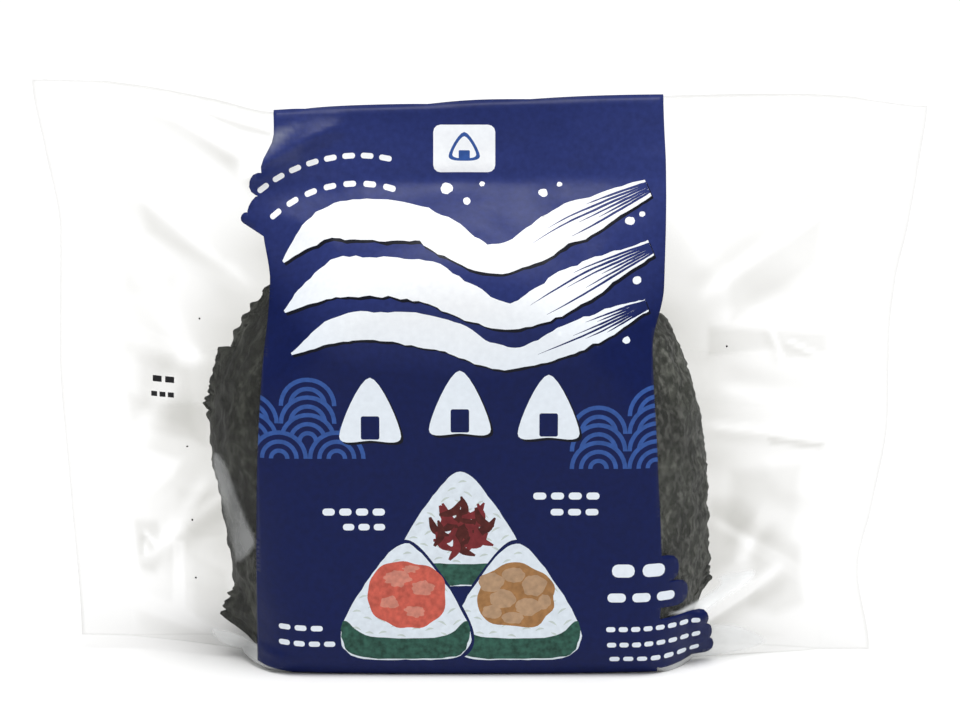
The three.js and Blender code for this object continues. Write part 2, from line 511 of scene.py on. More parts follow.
@dataclass(frozen=True)
class InkFinish:
    """A printed colour under the film's gloss, with faint mottling and a painted highlight that makes its
    upper part paler.
    """

    name: str
    colour: Colour
    mottle: float = 0.12
    roughness: float = 0.40
    roughness_spread: float = 0.16
    specular: float = 0.16
    painted_highlight_colour: Colour | None = None
    drape: float = 70.0
    full_height: float = 0.12
    fold_highlight: Colour = (0.175, 0.19, 0.275)

    def material(self) -> Material:
        """Builds the ink's material, with a grey-blue painted highlight where the film under it is sharply
        folded.

        Returns:
            The material.
        """
        sheet = NodeSheet(self.name)
        speckle = sheet.noise(900, 4)
        base = sheet.ramp(speckle, self.mottled(self.colour))
        # painted highlight: a paler colour over the upper part of the band, where light falls on the
        # leaning film
        if self.painted_highlight_colour is not None:
            painted_highlight_colour = sheet.ramp(speckle, self.mottled(self.painted_highlight_colour))
            base = sheet.mix_colours(self.painted_highlight_share(sheet), base, painted_highlight_colour)
            # painted highlight: the stored fold amount mixes in the fold highlight colour
            base = sheet.mix_colours(sheet.painted("fold"), base, (*self.fold_highlight, 1))
        least = self.roughness - self.roughness_spread / 2
        shader = sheet.add("ShaderNodeBsdfPrincipled", {
            "Base Color": base,
            "Roughness": sheet.math("MULTIPLY_ADD", sheet.noise(150, 3), self.roughness_spread, least),
            "Specular IOR Level": self.specular,
            "Normal": sheet.bump(sheet.noise(420, 3), depth=0.2, strength=0.35),
        })
        return sheet.finish(shader)

    def mottled(self, colour: Colour) -> list[tuple[float, Colour]]:
        """The ramp stops of a faintly mottled colour."""
        levels = ((0.3, 1 - self.mottle), (0.7, 1 + self.mottle))
        return [(place, tuple(min(1.0, c * level) for c in colour)) for place, level in levels]

    def painted_highlight_share(self, sheet: NodeSheet) -> Socket:
        """How much of the painted highlight colour shows: most on the leaning part under the top fold,
        where the light falls, and less towards the sides.

        Args:
            sheet: the material's nodes.

        Returns:
            The share's socket.
        """
        height = sheet.math("MULTIPLY", sheet.axis("Z"), 1 / self.full_height)
        drift = sheet.math("MULTIPLY_ADD", sheet.noise(28, 2), 0.16, height)
        off_middle = sheet.math("POWER", sheet.math("ADD", sheet.axis("X"), 0.002), 2.0)
        draped = sheet.math("SUBTRACT", drift, sheet.math("MULTIPLY", off_middle, self.drape))
        levels = ((0.57, 0.0), (0.70, 0.72), (0.80, 1.0), (0.90, 0.85), (1.0, 0.5))
        return sheet.ramp(draped, [(place, grey(share)) for place, share in levels])


@dataclass(frozen=True)
class NoriFinish:
    """Moist dark seaweed sheet, mottled and fibrous."""

    name: str
    deep: Colour = (0.006, 0.0065, 0.005)
    middle: Colour = (0.019, 0.0205, 0.0155)
    pale: Colour = (0.088, 0.092, 0.078)
    felted: Colour = (0.030, 0.032, 0.029)
    fleck: Colour = (0.17, 0.172, 0.160)
    specular: float = 0.3

    def material(self) -> Material:
        """Builds the seaweed's material.

        Returns:
            The material.
        """
        sheet = NodeSheet(self.name)
        broad = sheet.noise(115, 5, (1.25, 1.2, 0.9))
        fine = sheet.noise(700, 6, (1.1, 1.1, 0.9))
        blend = sheet.math("MULTIPLY_ADD", fine, 0.42, sheet.math("MULTIPLY", broad, 0.60))
        base = sheet.ramp(blend, [(0.43, self.deep), (0.53, self.middle), (0.66, self.pale)])
        fibres = sheet.noise(850, 6, (1.0, 1.0, 0.7))
        felt = sheet.ramp(fibres, [(0.47, self.felted), (0.66, self.fleck)])
        creases = sheet.noise(240, 4, (1.2, 1.0, 0.8))
        grain = sheet.math("MULTIPLY_ADD", sheet.noise(1000, 5, (1.0, 1.0, 0.85)), 0.5, creases)
        shader = sheet.add("ShaderNodeBsdfPrincipled", {
            "Base Color": sheet.mix_colours(self.felt_share(sheet), base, felt, "ADD"),
            "Roughness": sheet.math("MULTIPLY_ADD", broad, 0.5, 0.34),
            "Specular IOR Level": self.specular,
            "Normal": sheet.bump(grain, depth=1.0, strength=0.6),
        })
        return sheet.finish(shader)

    def felt_share(self, sheet: NodeSheet) -> Socket:
        """How much the sheet shows its pale fibres: little at the left, more at the right.

        Args:
            sheet: the material's nodes.

        Returns:
            The share's socket.
        """
        across = sheet.math("MULTIPLY_ADD", sheet.axis("X"), 10.0, 0.3)
        patches = sheet.math("MULTIPLY_ADD", sheet.noise(60, 3), 1.6, -0.8)
        return sheet.ramp(sheet.math("ADD", across, patches), [(0.1, grey(0.08)), (0.9, grey(1))])


@dataclass(frozen=True)
class FloorFinish:
    """The studio's pale matt floor."""

    name: str = "pale_floor"
    dim: Colour = (0.93, 0.93, 0.925)
    bright: Colour = (0.95, 0.95, 0.945)
    roughness: float = 0.9
    specular: float = 0.1

    def material(self) -> Material:
        """Builds the floor's material.

        Returns:
            The material.
        """
        sheet = NodeSheet(self.name)
        shader = sheet.add("ShaderNodeBsdfPrincipled", {
            "Base Color": sheet.ramp(sheet.noise(3, 2), [(0.0, self.dim), (1.0, self.bright)]),
            "Roughness": self.roughness,
            "Specular IOR Level": self.specular,
        })
        return sheet.finish(shader)


@dataclass
class BallShape:
    """The rounded triangle of the rice ball, seen from the front."""

    outline: Pairs = (
        (-40, -7), (-48.5, 8), (-51.5, 24), (-54.5, 43), (-52, 58), (-45, 71),
        (-33, 84), (-16, 90.5), (3, 90.5), (20, 84), (34, 72.5), (43, 57),
        (46, 38), (46.5, 20), (44, 3), (34, -7),
    )
    half_thickness: float = 21.5
    edge_radius: float = 17.0
    curve_steps: int = 6

    def polygon(self) -> Array:
        """The outline as a closed smooth polygon."""
        return closed_curve(self.outline, self.curve_steps)

    def half_at(self, x: Array, z: Array) -> Array:
        """Half thickness of the rice ball.

        Args:
            x: places across.
            z: places up.

        Returns:
            The half thickness there, nought outside the outline.
        """
        polygon = self.polygon()
        short = 1 - np.minimum(1, edge_distance(x, z, polygon) / self.edge_radius)
        half = self.half_thickness * np.sqrt(1 - short * short)
        return np.where(inside_polygon(x, z, polygon), half, 0.0)


@dataclass
class Crease:
    """One fold line in the film: a soft ridge from one place to another."""

    start: Pair
    end: Pair
    height: float
    width: float
    lean: float = 1.0
    fade: float = 4.0

    def across(self, x: Array, z: Array) -> tuple[Array, Array]:
        """Where places lie across the fold line, which is wider by its lean on its left hand.

        Args:
            x: places across.
            z: places up.

        Returns:
            The distance from the line in its widths, and the share of the fold that is there.
        """
        dx, dz = self.end[0] - self.start[0], self.end[1] - self.start[1]
        length = math.hypot(dx, dz)
        along = ((x - self.start[0]) * dx + (z - self.start[1]) * dz) / length**2
        off = ((x - self.start[0]) * dz - (z - self.start[1]) * dx) / length
        share = smooth_step(along * self.fade + 0.5) * smooth_step((1 - along) * self.fade + 0.5)
        return off / np.where(off < 0, self.width * self.lean, self.width), share

    def relief(self, x: Array, z: Array) -> Array:
        """How far the fold stands out of the film, in millimetres."""
        off, share = self.across(x, z)
        return self.height * share * np.exp(-(off**2))

    def tone(self, x: Array, z: Array) -> Array:
        """The painted shade beside the fold, and the painted highlight along it.

        Args:
            x: places across.
            z: places up.

        Returns:
            The change of painted shading.
        """
        off, share = self.across(x, z)
        # painted shade in a band beside the fold, painted highlight along its ridge
        beside, on = np.exp(-((off - 1.6) ** 2)), np.exp(-((off / 0.6) ** 2))
        return share * self.height * (0.5 * beside - 1.1 * on)


@dataclass
class PaintedLightPatch:
    """One soft-edged patch where light or shade is painted on the film or the print, fading in from its
    edges.
    """

    corners: Pairs | Array
    # above nought it is painted shade on the film and below nought a painted highlight; on the milky
    # strips and the band folds it is a painted highlight
    shade: float
    softness: float = 2.0

    def tone(self, x: Array, z: Array) -> Array:
        """How much painted light or shade the patch gives at each place.

        Args:
            x: places across.
            z: places up.

        Returns:
            The painted amount.
        """
        polygon = np.array(self.corners, dtype=float)
        depth = np.where(inside_polygon(x, z, polygon), edge_distance(x, z, polygon), 0.0)
        return self.shade * smooth_step(depth / self.softness)


@dataclass
class FilmShape:
    """The film drawn tight over the rice ball, as half thicknesses over its outline."""

    ball: BallShape
    left_edge: Pairs = (
        (1.6, -80.8), (35, -82.6), (60, -84.0), (86, -83.4), (102, -86.0), (115.6, -88.2),
    )
    right_edge: Pairs = (
        (0, 79.0), (17, 76.4), (30, 79.0), (49, 81.8), (64, 81.7), (76, 82.7), (86, 84.8),
        (102, 87.2), (110.4, 88.2),
    )
    top_edge: Pairs = (
        (0, 115.6), (0.06, 115.4), (0.12, 114.2), (0.2, 111.4), (0.265, 108.8), (0.31, 109.4),
        (0.42, 110.1), (0.52, 111.0), (0.71, 112.0), (0.86, 112.5), (0.91, 112.1), (1, 110.4),
    )
    bottom_edge: Pairs = ((0, 3.0), (0.12, 2.4), (0.2, 1.5), (0.275, 0.2), (0.31, 0), (1, 0))
    seal_width: float = 10.5
    seal_inner_x: float = 69.0
    seal_half_thickness: float = 0.5
    film_half_thickness: float = 0.16
    contact_gap: float = 0.12
    mean_top: float = 111.0
    fold_half_thickness: float = 0.9
    fold_rounding: float = 0.6
    pinch_height: float = 15.0
    pinch_slope: float = 0.2
    base_half_depth: float = 16.0
    base_full_half_width: float = 30.0
    base_corner_depth: float = 6.0
    base_corner_x: float = 45.0
    middle_stations: int = 42
    seal_stations: int = 2
    rows: int = 25
    row_crowding: float = 0.45
    relax_rounds: int = 5000
    station_splits: int = 6
    row_splits: int = 7
    front_creases: tuple[Crease, ...] = (
        Crease((-66, 111.4), (-46, 101.5), 1.0, 1.8),
        Crease((-46, 97.6), (-27, 108.2), 2.9, 1.7, 2.3),
        Crease((-72, 40), (-57, 63), 0.6, 3.2),
        Crease((-69, 84), (-56, 60), 0.6, 3.4),
        Crease((-66, 20), (-54, 38), 0.7, 2.6),
        Crease((-74, 12), (-50, 5), 0.6, 2.6),
        Crease((46, 48.9), (70.4, 44.3), 1.1, 1.3),
        Crease((70, 69), (47, 70), 0.6, 3.0),
        Crease((44, 9), (60, 18), 1.1, 2.0),
        Crease((70, 22), (56, 31), 0.5, 3.0),
        Crease((50, 98), (66, 80), 0.2, 4.0),
        Crease((38, 92), (52, 72), 0.35, 3.6),
        Crease((57.4, 67.4), (60.4, 60.2), 0.7, 0.9),
        Crease((60.9, 64.5), (70.4, 59.6), 0.8, 0.8),
        Crease((41.6, 9.4), (54.4, 15.4), 1.2, 1.4),
        Crease((-60, 110), (-47, 105), 0.8, 1.1),
        Crease((-70, 104), (-52, 92), 0.5, 2.2),
        Crease((-67.4, 25.4), (-64.4, 22.4), 0.9, 0.8),
        Crease((-67.0, 23.6), (-67.2, 20.2), 0.8, 0.7),
        Crease((-71, 30), (-69, 16), 0.6, 1.2),
        Crease((52, 20), (57, 30), 0.5, 2.2),
    )
    # painted shade and painted highlight patches on the front film, where its folds and flat parts catch
    # or lose the light
    front_painted_patches: tuple[PaintedLightPatch, ...] = (
        PaintedLightPatch(((44, 69), (70.4, 65.8), (70.4, 60.0), (60.6, 60.0), (57.4, 62.2), (44, 61.6)), 0.75, 1.6),
        PaintedLightPatch(((56, 45.8), (70.0, 43.2), (70.0, 41.2), (57.6, 43.4)), 0.9, 0.8),
        PaintedLightPatch(((44, 36), (52.8, 34.1), (57.2, 30.0), (52.9, 25.3), (51.6, 19.0), (44, 17)), 0.5, 2.4),
        PaintedLightPatch(((53.1, 26.6), (62.1, 26.0), (66.8, 22.8), (67.6, 9.0), (59.4, 6.6), (52.7, 9.4)), 0.6, 3.0),
        PaintedLightPatch(((54.0, 43.5), (68, 40), (67, 31), (58.5, 32.0)), -0.5, 4.0),
        PaintedLightPatch(((44, 8), (58.4, 5.7), (64.5, 3.2), (48.4, 1.5)), 0.25, 2.0),
        PaintedLightPatch(((-67.1, 112.0), (-61.6, 111.4), (-54.0, 107.2), (-42.0, 99.7), (-41.0, 91.0), (-48.3, 95.0),
               (-57.0, 102.6), (-64.8, 107.4)), 0.8, 3.2),
        PaintedLightPatch(((-57.0, 110.5), (-40.7, 105.7), (-40.8, 104.2), (-49.6, 106.0)), 0.9, 0.8),
        PaintedLightPatch(((-73.0, 84.8), (-64.9, 84.2), (-65.3, 79.8), (-73.0, 79.4)), 0.55, 1.4),
        PaintedLightPatch(((-72.6, 80), (-58, 79), (-60, 71), (-72.6, 73)), 0.35, 3.0),
        PaintedLightPatch(((-71.4, 54.6), (-54.0, 53.0), (-53.0, 43.7), (-63.7, 44.5), (-71.0, 46.4)), 0.6, 2.6),
        PaintedLightPatch(((-71.6, 44.0), (-65.7, 43.0), (-57.7, 41.6), (-60.2, 37.0), (-65.9, 32.3), (-71.5, 32.3)),
              -0.9, 2.2),
        PaintedLightPatch(((-60.8, 35.9), (-53.0, 36.4), (-50.0, 26.1), (-56.8, 24.1), (-62.0, 28.2)), 0.3, 2.0),
        PaintedLightPatch(((-71.0, 28.2), (-64.0, 28.8), (-61.9, 22.8), (-64.7, 15.6), (-71.0, 16.6)), 0.75, 2.0),
        PaintedLightPatch(((-62.0, 24.8), (-58.4, 24.6), (-58.8, 8.6), (-62.2, 8.2)), -0.9, 1.2),
        PaintedLightPatch(((-58.4, 23.1), (-49.4, 20.0), (-49.0, 11.7), (-54.3, 2.6), (-58.3, 7.6)), 0.35, 2.0),
    )
    back_creases: tuple[Crease, ...] = (
        Crease((-70, 96), (-48, 74), 0.9, 2.2),
        Crease((-72, 66), (-56, 58), 0.8, 2.0),
        Crease((-70, 18), (-52, 30), 0.9, 1.8),
        Crease((70, 92), (46, 72), 0.9, 2.0),
        Crease((70, 50), (50, 52), 0.8, 2.2),
        Crease((68, 14), (48, 24), 0.9, 1.8),
    )
    # painted shade patches on the back film
    back_painted_patches: tuple[PaintedLightPatch, ...] = (
        PaintedLightPatch(((-70, 98), (-50, 80), (-46, 70), (-68, 84)), 0.7, 3.0),
        PaintedLightPatch(((-70, 62), (-58, 58), (-56, 40), (-70, 48)), 0.6, 3.0),
        PaintedLightPatch(((70, 92), (48, 76), (50, 64), (69, 78)), 0.7, 3.0),
        PaintedLightPatch(((67, 40), (50, 36), (49, 18), (65, 22)), 0.6, 3.0),
    )
    wave_height: float = 0.9
    ridge_height: float = 0.7
    ripple_height: float = 0.25
    rib_height: float = 0.11
    rib_pitch: float = 1.3
    loose_gap: float = 0.2
    loose_reach: float = 2.5
    calm_base: float = 6.0
    calm_top: float = 5.0
    tight_wave_share: float = 0.12
    tight_crease_share: float = 0.25
    seal_blend: float = 0.02
    # the film's painted shade: how far it reaches from the rice ball, how it falls and drifts, its cap,
    # and how much of it there is at the foot, on the seals and along the rims
    painted_shade_reach: float = 11.0
    painted_shade_fall: float = 1.3
    painted_shade_drift: float = 0.45
    most_painted_shade: float = 1.5
    foot_painted_shade: float = 0.35
    seal_tone: float = 0.06
    rim_painted_shade: float = 0.5
    foot_fade: float = 16.0

    def __post_init__(self) -> None:
        """Works out the sheet on a coarse grid, then on the fine grid that pieces read."""
        shares, heights = self.width_shares(), self.height_shares()
        coarse = self.drawn_tight(shares, heights)
        across = np.arange((len(shares) - 1) * self.station_splits + 1) / self.station_splits
        up = np.arange(self.rows * self.row_splits + 1) / self.row_splits
        self.shares = np.interp(across, np.arange(len(shares)), shares)
        self.heights = np.interp(up, np.arange(len(heights)), heights)
        self.x, self.z = self.flat_places(self.shares, self.heights)
        self.ball_half = self.ball.half_at(self.x, self.z)
        half = catmull(catmull(coarse, across).T, up).T
        half = np.maximum(half, self.ball_half + self.contact_gap)
        half -= (self.seal_half_thickness - self.film_half_thickness) * self.sealed_share()
        self.sheets = {
            side: np.maximum(half + self.creased(half, side), self.film_half_thickness) for side in Side
        }

    def width_shares(self) -> Array:
        """Spreads the stations over the width, with the end seals as their own strips.

        Returns:
            The share of the width at each station.
        """
        width = smooth_curve(self.right_edge, 50) - smooth_curve(self.left_edge, 50)
        seal = float(self.seal_width / width)
        left = np.linspace(0, seal, self.seal_stations + 1)[:-1]
        middle = np.linspace(seal, 1 - seal, self.middle_stations + 1)
        return np.concatenate([left, middle, 1 - left[::-1]])

    def height_shares(self) -> Array:
        """Shares of the height at the rows, closer together at both ends."""
        t = np.arange(self.rows + 1) / self.rows
        return t - self.row_crowding * np.sin(2 * math.pi * t) / (2 * math.pi)

    def flat_places(self, shares: Array, heights: Array) -> tuple[Array, Array]:
        """Where stations and rows lie, seen from the front.

        Args:
            shares: shares of the width.
            heights: shares of the height.

        Returns:
            x and z, one row per station.
        """
        top = smooth_curve(self.top_edge, shares)[:, None]
        bottom = smooth_curve(self.bottom_edge, shares)[:, None]
        z = bottom + (top - bottom) * heights[None, :]
        left, right = smooth_curve(self.left_edge, z), smooth_curve(self.right_edge, z)
        return left + (right - left) * shares[:, None], z

    def base_half(self, x: Array) -> Array:
        """Half depth of the folded base, full under the rice ball.

        Args:
            x: places across.

        Returns:
            The half depth at each of them.
        """
        out = np.abs(x)
        span = self.base_corner_x - self.base_full_half_width
        near = smooth_step((out - self.base_full_half_width) / span)
        full = self.base_half_depth + (self.base_corner_depth - self.base_half_depth) * near
        far = np.clip((out - self.base_corner_x) / (self.seal_inner_x - self.base_corner_x), 0, 1)
        narrow = self.base_corner_depth + (self.seal_half_thickness - self.base_corner_depth) * far
        return np.where(out < self.base_corner_x, full, narrow)

    def drawn_tight(self, shares: Array, heights: Array) -> Array:
        """Relaxes the film like a stretched skin over the rice ball and its held edges.

        Args:
            shares: shares of the width at the stations.
            heights: shares of the height at the rows.

        Returns:
            Half thickness for each station and row.
        """
        x, z = self.flat_places(shares, heights)
        ball = self.ball.half_at(x, z)
        last = len(shares) - 1
        station = np.arange(last + 1)
        from_end = np.minimum(station, last - station)
        opening = smooth_step((from_end - self.seal_stations) / (self.middle_stations / 5))[:, None]
        below_top = z[:, -1:] - z
        fold = self.seal_half_thickness + (self.fold_half_thickness - self.seal_half_thickness) * opening
        pinched = fold + below_top * self.pinch_slope * opening
        sealed = (from_end <= self.seal_stations)[:, None] | np.zeros(z.shape, bool)
        held = sealed | (below_top < self.pinch_height)
        held[:, 0] = True
        half = np.where(below_top < self.pinch_height, pinched, ball)
        half[:, 0] = self.base_half(x[:, 0])
        half[sealed] = self.seal_half_thickness
        free = ~held[1:-1, 1:-1]
        up = (z[1:-1, 1:-1] - z[1:-1, :-2]) / (z[1:-1, 2:] - z[1:-1, :-2])
        for _ in range(self.relax_rounds):
            across = (half[:-2, 1:-1] + half[2:, 1:-1]) / 2
            upright = half[1:-1, :-2] * (1 - up) + half[1:-1, 2:] * up
            eased = np.maximum(ball[1:-1, 1:-1], (across + upright) / 2)
            half[1:-1, 1:-1] = np.where(free, eased, half[1:-1, 1:-1])
        return half

    def sealed_share(self) -> Array:
        """How much of each place belongs to an end seal.

        Returns:
            One on the end seals, falling to nought just inside them.
        """
        seal = self.width_shares()[self.seal_stations]
        inward = np.minimum(self.shares, 1 - self.shares) - seal
        return (1 - smooth_step(inward / self.seal_blend))[:, None] * np.ones_like(self.x)

    def creased(self, half: Array, side: Side) -> Array:
        """Folds, waves and seal ribs of one side.

        Args:
            half: the smooth half thickness.
            side: which side's folds.

        Returns:
            The relief in millimetres, outwards.
        """
        x, z = self.x, self.z
        seed = 3.1 if side is Side.FRONT else 8.7
        loose = smooth_step((half - self.ball_half - self.loose_gap) / self.loose_reach)
        wave_share = self.tight_wave_share + (1 - self.tight_wave_share) * loose
        crease_share = self.tight_crease_share + (1 - self.tight_crease_share) * loose
        calm = smooth_step(z / self.calm_base) * smooth_step((z[:, -1:] - z) / self.calm_top)
        wave = self.wave_height * noise_at(x, z, 30, 22, seed)
        ridges = self.ridge_height * (0.5 - np.abs(noise_at(x, z, 17, 11, seed + 4)) * 2)
        ripples = self.ripple_height * noise_at(x, z, 6, 5, seed + 9)
        relief = (wave + ridges + ripples) * wave_share
        relief += sum(crease.relief(x, z) for crease in self.creases(side)) * crease_share
        ribs = self.rib_height * np.sin(x * 2 * math.pi / self.rib_pitch)
        return relief * (1 - self.sealed_share()) * calm + ribs * self.sealed_share()

    def creases(self, side: Side) -> tuple[Crease, ...]:
        """The fold lines of one side."""
        return self.front_creases if side is Side.FRONT else self.back_creases

    def painted_patches(self, side: Side) -> tuple[PaintedLightPatch, ...]:
        """The patches of painted shade and painted highlight of one side."""
        return self.front_painted_patches if side is Side.FRONT else self.back_painted_patches

    def tone(self, side: Side) -> Array:
        """The painted shade of one side of the film: most beside the rice ball, and in painted patches and
        along folds.

        Args:
            side: which side's folds and patches.

        Returns:
            The painted shading for each station and row, nought where the film is quite clear.
        """
        x, z = self.x, self.z
        ball = self.ball.polygon()
        # painted shade: grey close to the rice ball, less of it towards the floor
        away = np.where(inside_polygon(x, z, ball), 0, edge_distance(x, z, ball))
        low = self.foot_painted_shade + (1 - self.foot_painted_shade) * smooth_step(z / self.foot_fade)
        near = np.exp(-((away / self.painted_shade_reach) ** self.painted_shade_fall)) * low
        seed = 1.9 if side is Side.FRONT else 6.4
        drift = 1 + self.painted_shade_drift * noise_at(x, z, 15, 8, seed)
        marks = sum(mark.tone(x, z) for mark in (*self.creases(side), *self.painted_patches(side)))
        tone = np.clip(near * drift + marks, 0, self.most_painted_shade)
        tone *= 1 - self.sealed_share()
        tone += self.seal_tone * self.sealed_share()
        # painted shade: a grey line along the film's outer edges
        tone[[0, -1], :] = self.rim_painted_shade
        tone[:, [0, -1]] = self.rim_painted_shade
        return tone

    def half_at(self, x: Array, z: Array, side: Side) -> Array:
        """Reads a side of the film at places seen from the front.

        Args:
            x: places across.
            z: places up.
            side: the side to read.

        Returns:
            Half thickness there.
        """
        left, right = smooth_curve(self.left_edge, z), smooth_curve(self.right_edge, z)
        share = (x - left) / (right - left)
        top, bottom = smooth_curve(self.top_edge, share), smooth_curve(self.bottom_edge, share)
        height = np.clip((z - bottom) / (top - bottom), 0, 1)
        i = np.interp(share, self.shares, np.arange(len(self.shares)))
        j = np.interp(height, self.heights, np.arange(len(self.heights)))
        a = np.clip(i.astype(int), 0, len(self.shares) - 2)
        b = np.clip(j.astype(int), 0, len(self.heights) - 2)
        s, t = i - a, j - b
        sheet = self.sheets[side]
        low = sheet[a, b] * (1 - s) + sheet[a + 1, b] * s
        high = sheet[a, b + 1] * (1 - s) + sheet[a + 1, b + 1] * s
        return low * (1 - t) + high * t

    def top_at(self, x: Array) -> Array:
        """Height of the top fold at x."""
        left, right = smooth_curve(self.left_edge, 112), smooth_curve(self.right_edge, 112)
        return smooth_curve(self.top_edge, (x - left) / (right - left))

    def sheet_length(self) -> float:
        """Length of the flat print layout, from the floor up, over the fold and down again."""
        return 2 * self.mean_top + 2 * self.fold_half_thickness

    def wrapped(self, x: Array, along: Array, lift: float) -> Array:
        """Places on the film from its front base edge, up, over the fold and down the back.

        Args:
            x: places across.
            along: length from the floor up the front, on over the fold and down the back.
            lift: how far outside the film, in millimetres.

        Returns:
            One point per row.
        """
        top = self.top_at(x)
        over = along - top
        turn = 2 * self.fold_half_thickness
        front_z = np.minimum(along, top)
        back_z = top * np.clip((self.sheet_length() - along) / (self.sheet_length() - top - turn), 0, 1)
        front = -self.half_at(x, front_z, Side.FRONT) - lift
        back = self.half_at(x, back_z, Side.BACK) + lift
        share = np.clip(over / turn, 0, 1)
        y = np.where(over <= 0, front, np.where(over >= turn, back, front + (back - front) * share))
        crest = (self.fold_rounding + lift) * np.sin(math.pi * share)
        z = np.where(over <= 0, front_z, np.where(over >= turn, back_z, top + crest))
        return np.column_stack([x, y, z])


@dataclass
class ClearPouch:
    """The clear film bag with its ribbed end seals and the fin seal down its back."""

    film: FilmShape
    base_strips: int = 8
    # painted highlights: milky white strips on the front film, where it reflects light over the seaweed
    # and over the shade at its foot
    milky_highlight_strips: tuple[tuple[Pairs, float], ...] = (
        (((-52.6, 43.6), (-50.4, 42.6), (-48.6, 38.9), (-47.1, 34.6), (-45.3, 30.1), (-43.8, 26.0),
          (-47.9, 21.4), (-49.6, 26.8), (-50.9, 32.3), (-52.0, 36.6), (-52.9, 40.0)), 0.18),
        (((54.3, 18.4), (55.3, 16.8), (51.5, 14.5), (46.8, 12.1), (42.6, 10.4), (36.8, 12.2),
          (41.0, 13.2), (46.4, 15.4), (47.6, 16.6), (47.1, 18.0)), 0.6),
        (((33.5, 6.0), (42.0, 8.5), (52.0, 7.0), (58.0, 2.5), (50.0, 0.0), (36.0, -0.6)), 0.4),
        (((-54.0, 6.5), (-45.0, 5.5), (-35.0, 3.0), (-33.0, -0.4), (-42.0, 0.0), (-52.0, 2.0)), 0.35),
    )
    strip_softness: float = 0.9
    strip_drift: float = 0.5
    fin_ends: Pair = (-72.0, 70.0)
    fin_columns: int = 190
    fin_rows: int = 13
    fin_height: float = 54.0
    fin_width: float = 11.0
    fin_gap: float = 0.75
    fin_lift: float = 0.5
    fin_droop: float = 0.6
    fin_sway: float = 0.5
    fin_rib_height: float = 0.1
    band_left: float = -42.6
    band_right: float = 34.0
    fin_ink: InkFinish = InkFinish("fin_ink", (0.0024, 0.0082, 0.070))
    # the last colour of each film finish is the grey tint of its painted shade
    clear: FilmFinish = FilmFinish("clear_film", 0.006, 0.010, 0.10, 0.012, (0.74, 0.737, 0.72))
    seal: FilmFinish = FilmFinish("sealed_film", 0.012, 0.016, 0.20, 0.016, (0.74, 0.737, 0.73))
    fin: FilmFinish = FilmFinish("fin_film", 0.003, 0.004, 0.12, 0.006, (1.0, 1.0, 1.0))

    def loop(self, i: int) -> Array:
        """The points all the way round one station.

        Args:
            i: number of the station.

        Returns:
            One point per row, from the front base edge up and over to the back, then under.
        """
        film = self.film
        x, z = film.x[i], film.z[i]
        front = np.column_stack([x, -film.sheets[Side.FRONT][i], z])
        back = np.column_stack([x, film.sheets[Side.BACK][i], z])[::-1]
        crest = [[x[-1], 0, z[-1] + film.fold_rounding * min(1, film.sheets[Side.FRONT][i][-1])]]
        t = np.arange(1, self.base_strips)[:, None] / self.base_strips
        base = back[-1] * (1 - t) + front[0] * t
        return np.vstack([front, crest, back, base])

    def build(self) -> None:
        """Makes the bag and its fin seal."""
        materials = [self.clear.material(), self.seal.material()]
        loops = [self.loop(i) for i in range(len(self.film.shares))]
        size, rows = len(loops[0]), self.film.x.shape[1]
        faces = grid_faces(len(loops), size, closed=True)
        middle = (self.film.shares[:-1] + self.film.shares[1:]) / 2
        sealed = np.minimum(middle, 1 - middle) < self.film.width_shares()[self.film.seal_stations]
        slots = np.repeat(sealed.astype(int), size).tolist()
        for start, turn in ((0, 1), ((len(loops) - 1) * size, -1)):
            ends = [face[::turn] for face in self.end_faces(size, rows, start)]
            faces += ends
            slots += [1] * len(ends)
        pouch = make_object("film_pouch", np.vstack(loops), faces, materials, slots)
        self.paint_film(pouch)
        settle(pouch, "pouch")
        self.build_fin()

    def end_faces(self, size: int, rows: int, start: int) -> Faces:
        """Faces that close the end of a seal.

        Args:
            size: points in a loop.
            rows: rows of the front sheet.
            start: number of the loop's first point.

        Returns:
            The faces.
        """
        faces = [(j, j + 1, 2 * rows - j - 1, 2 * rows - j) for j in range(rows - 1)]
        faces.append((rows - 1, rows, rows + 1))
        faces.append((0, 2 * rows, *range(2 * rows + 1, size)))
        return [tuple(start + k for k in face) for face in faces]

    def paint_film(self, pouch: Piece) -> None:
        """Stores the painted highlights, as milky film on strips, and the film's painted shading.

        Args:
            pouch: the bag.
        """
        x, y, z = read_vectors(pouch, "co").T / MM
        strips = [PaintedLightPatch(closed_curve(corners, 4), share, self.strip_softness)
                  for corners, share in self.milky_highlight_strips]
        haze_and_highlight = sum(strip.tone(x, z) for strip in strips)
        haze_and_highlight = np.where(y < 0, haze_and_highlight * (1 + self.strip_drift * noise_at(x, z, 3.5, 6.0, 4.4)), 0.0)
        paint(pouch, "haze_and_highlight", haze_and_highlight)
        paint(pouch, "tone", self.painted_shading_loops())

    def painted_shading_loops(self) -> Array:
        """Lays out the film's painted shading like the loops.

        Returns:
            The painted shading of each point, loop by loop.
        """
        front, back = (self.film.tone(side) for side in (Side.FRONT, Side.BACK))
        crest = np.full((len(front), 1), self.film.rim_painted_shade)
        base = np.zeros((len(front), self.base_strips - 1))
        return np.hstack([front, crest, back[:, ::-1], base]).ravel()

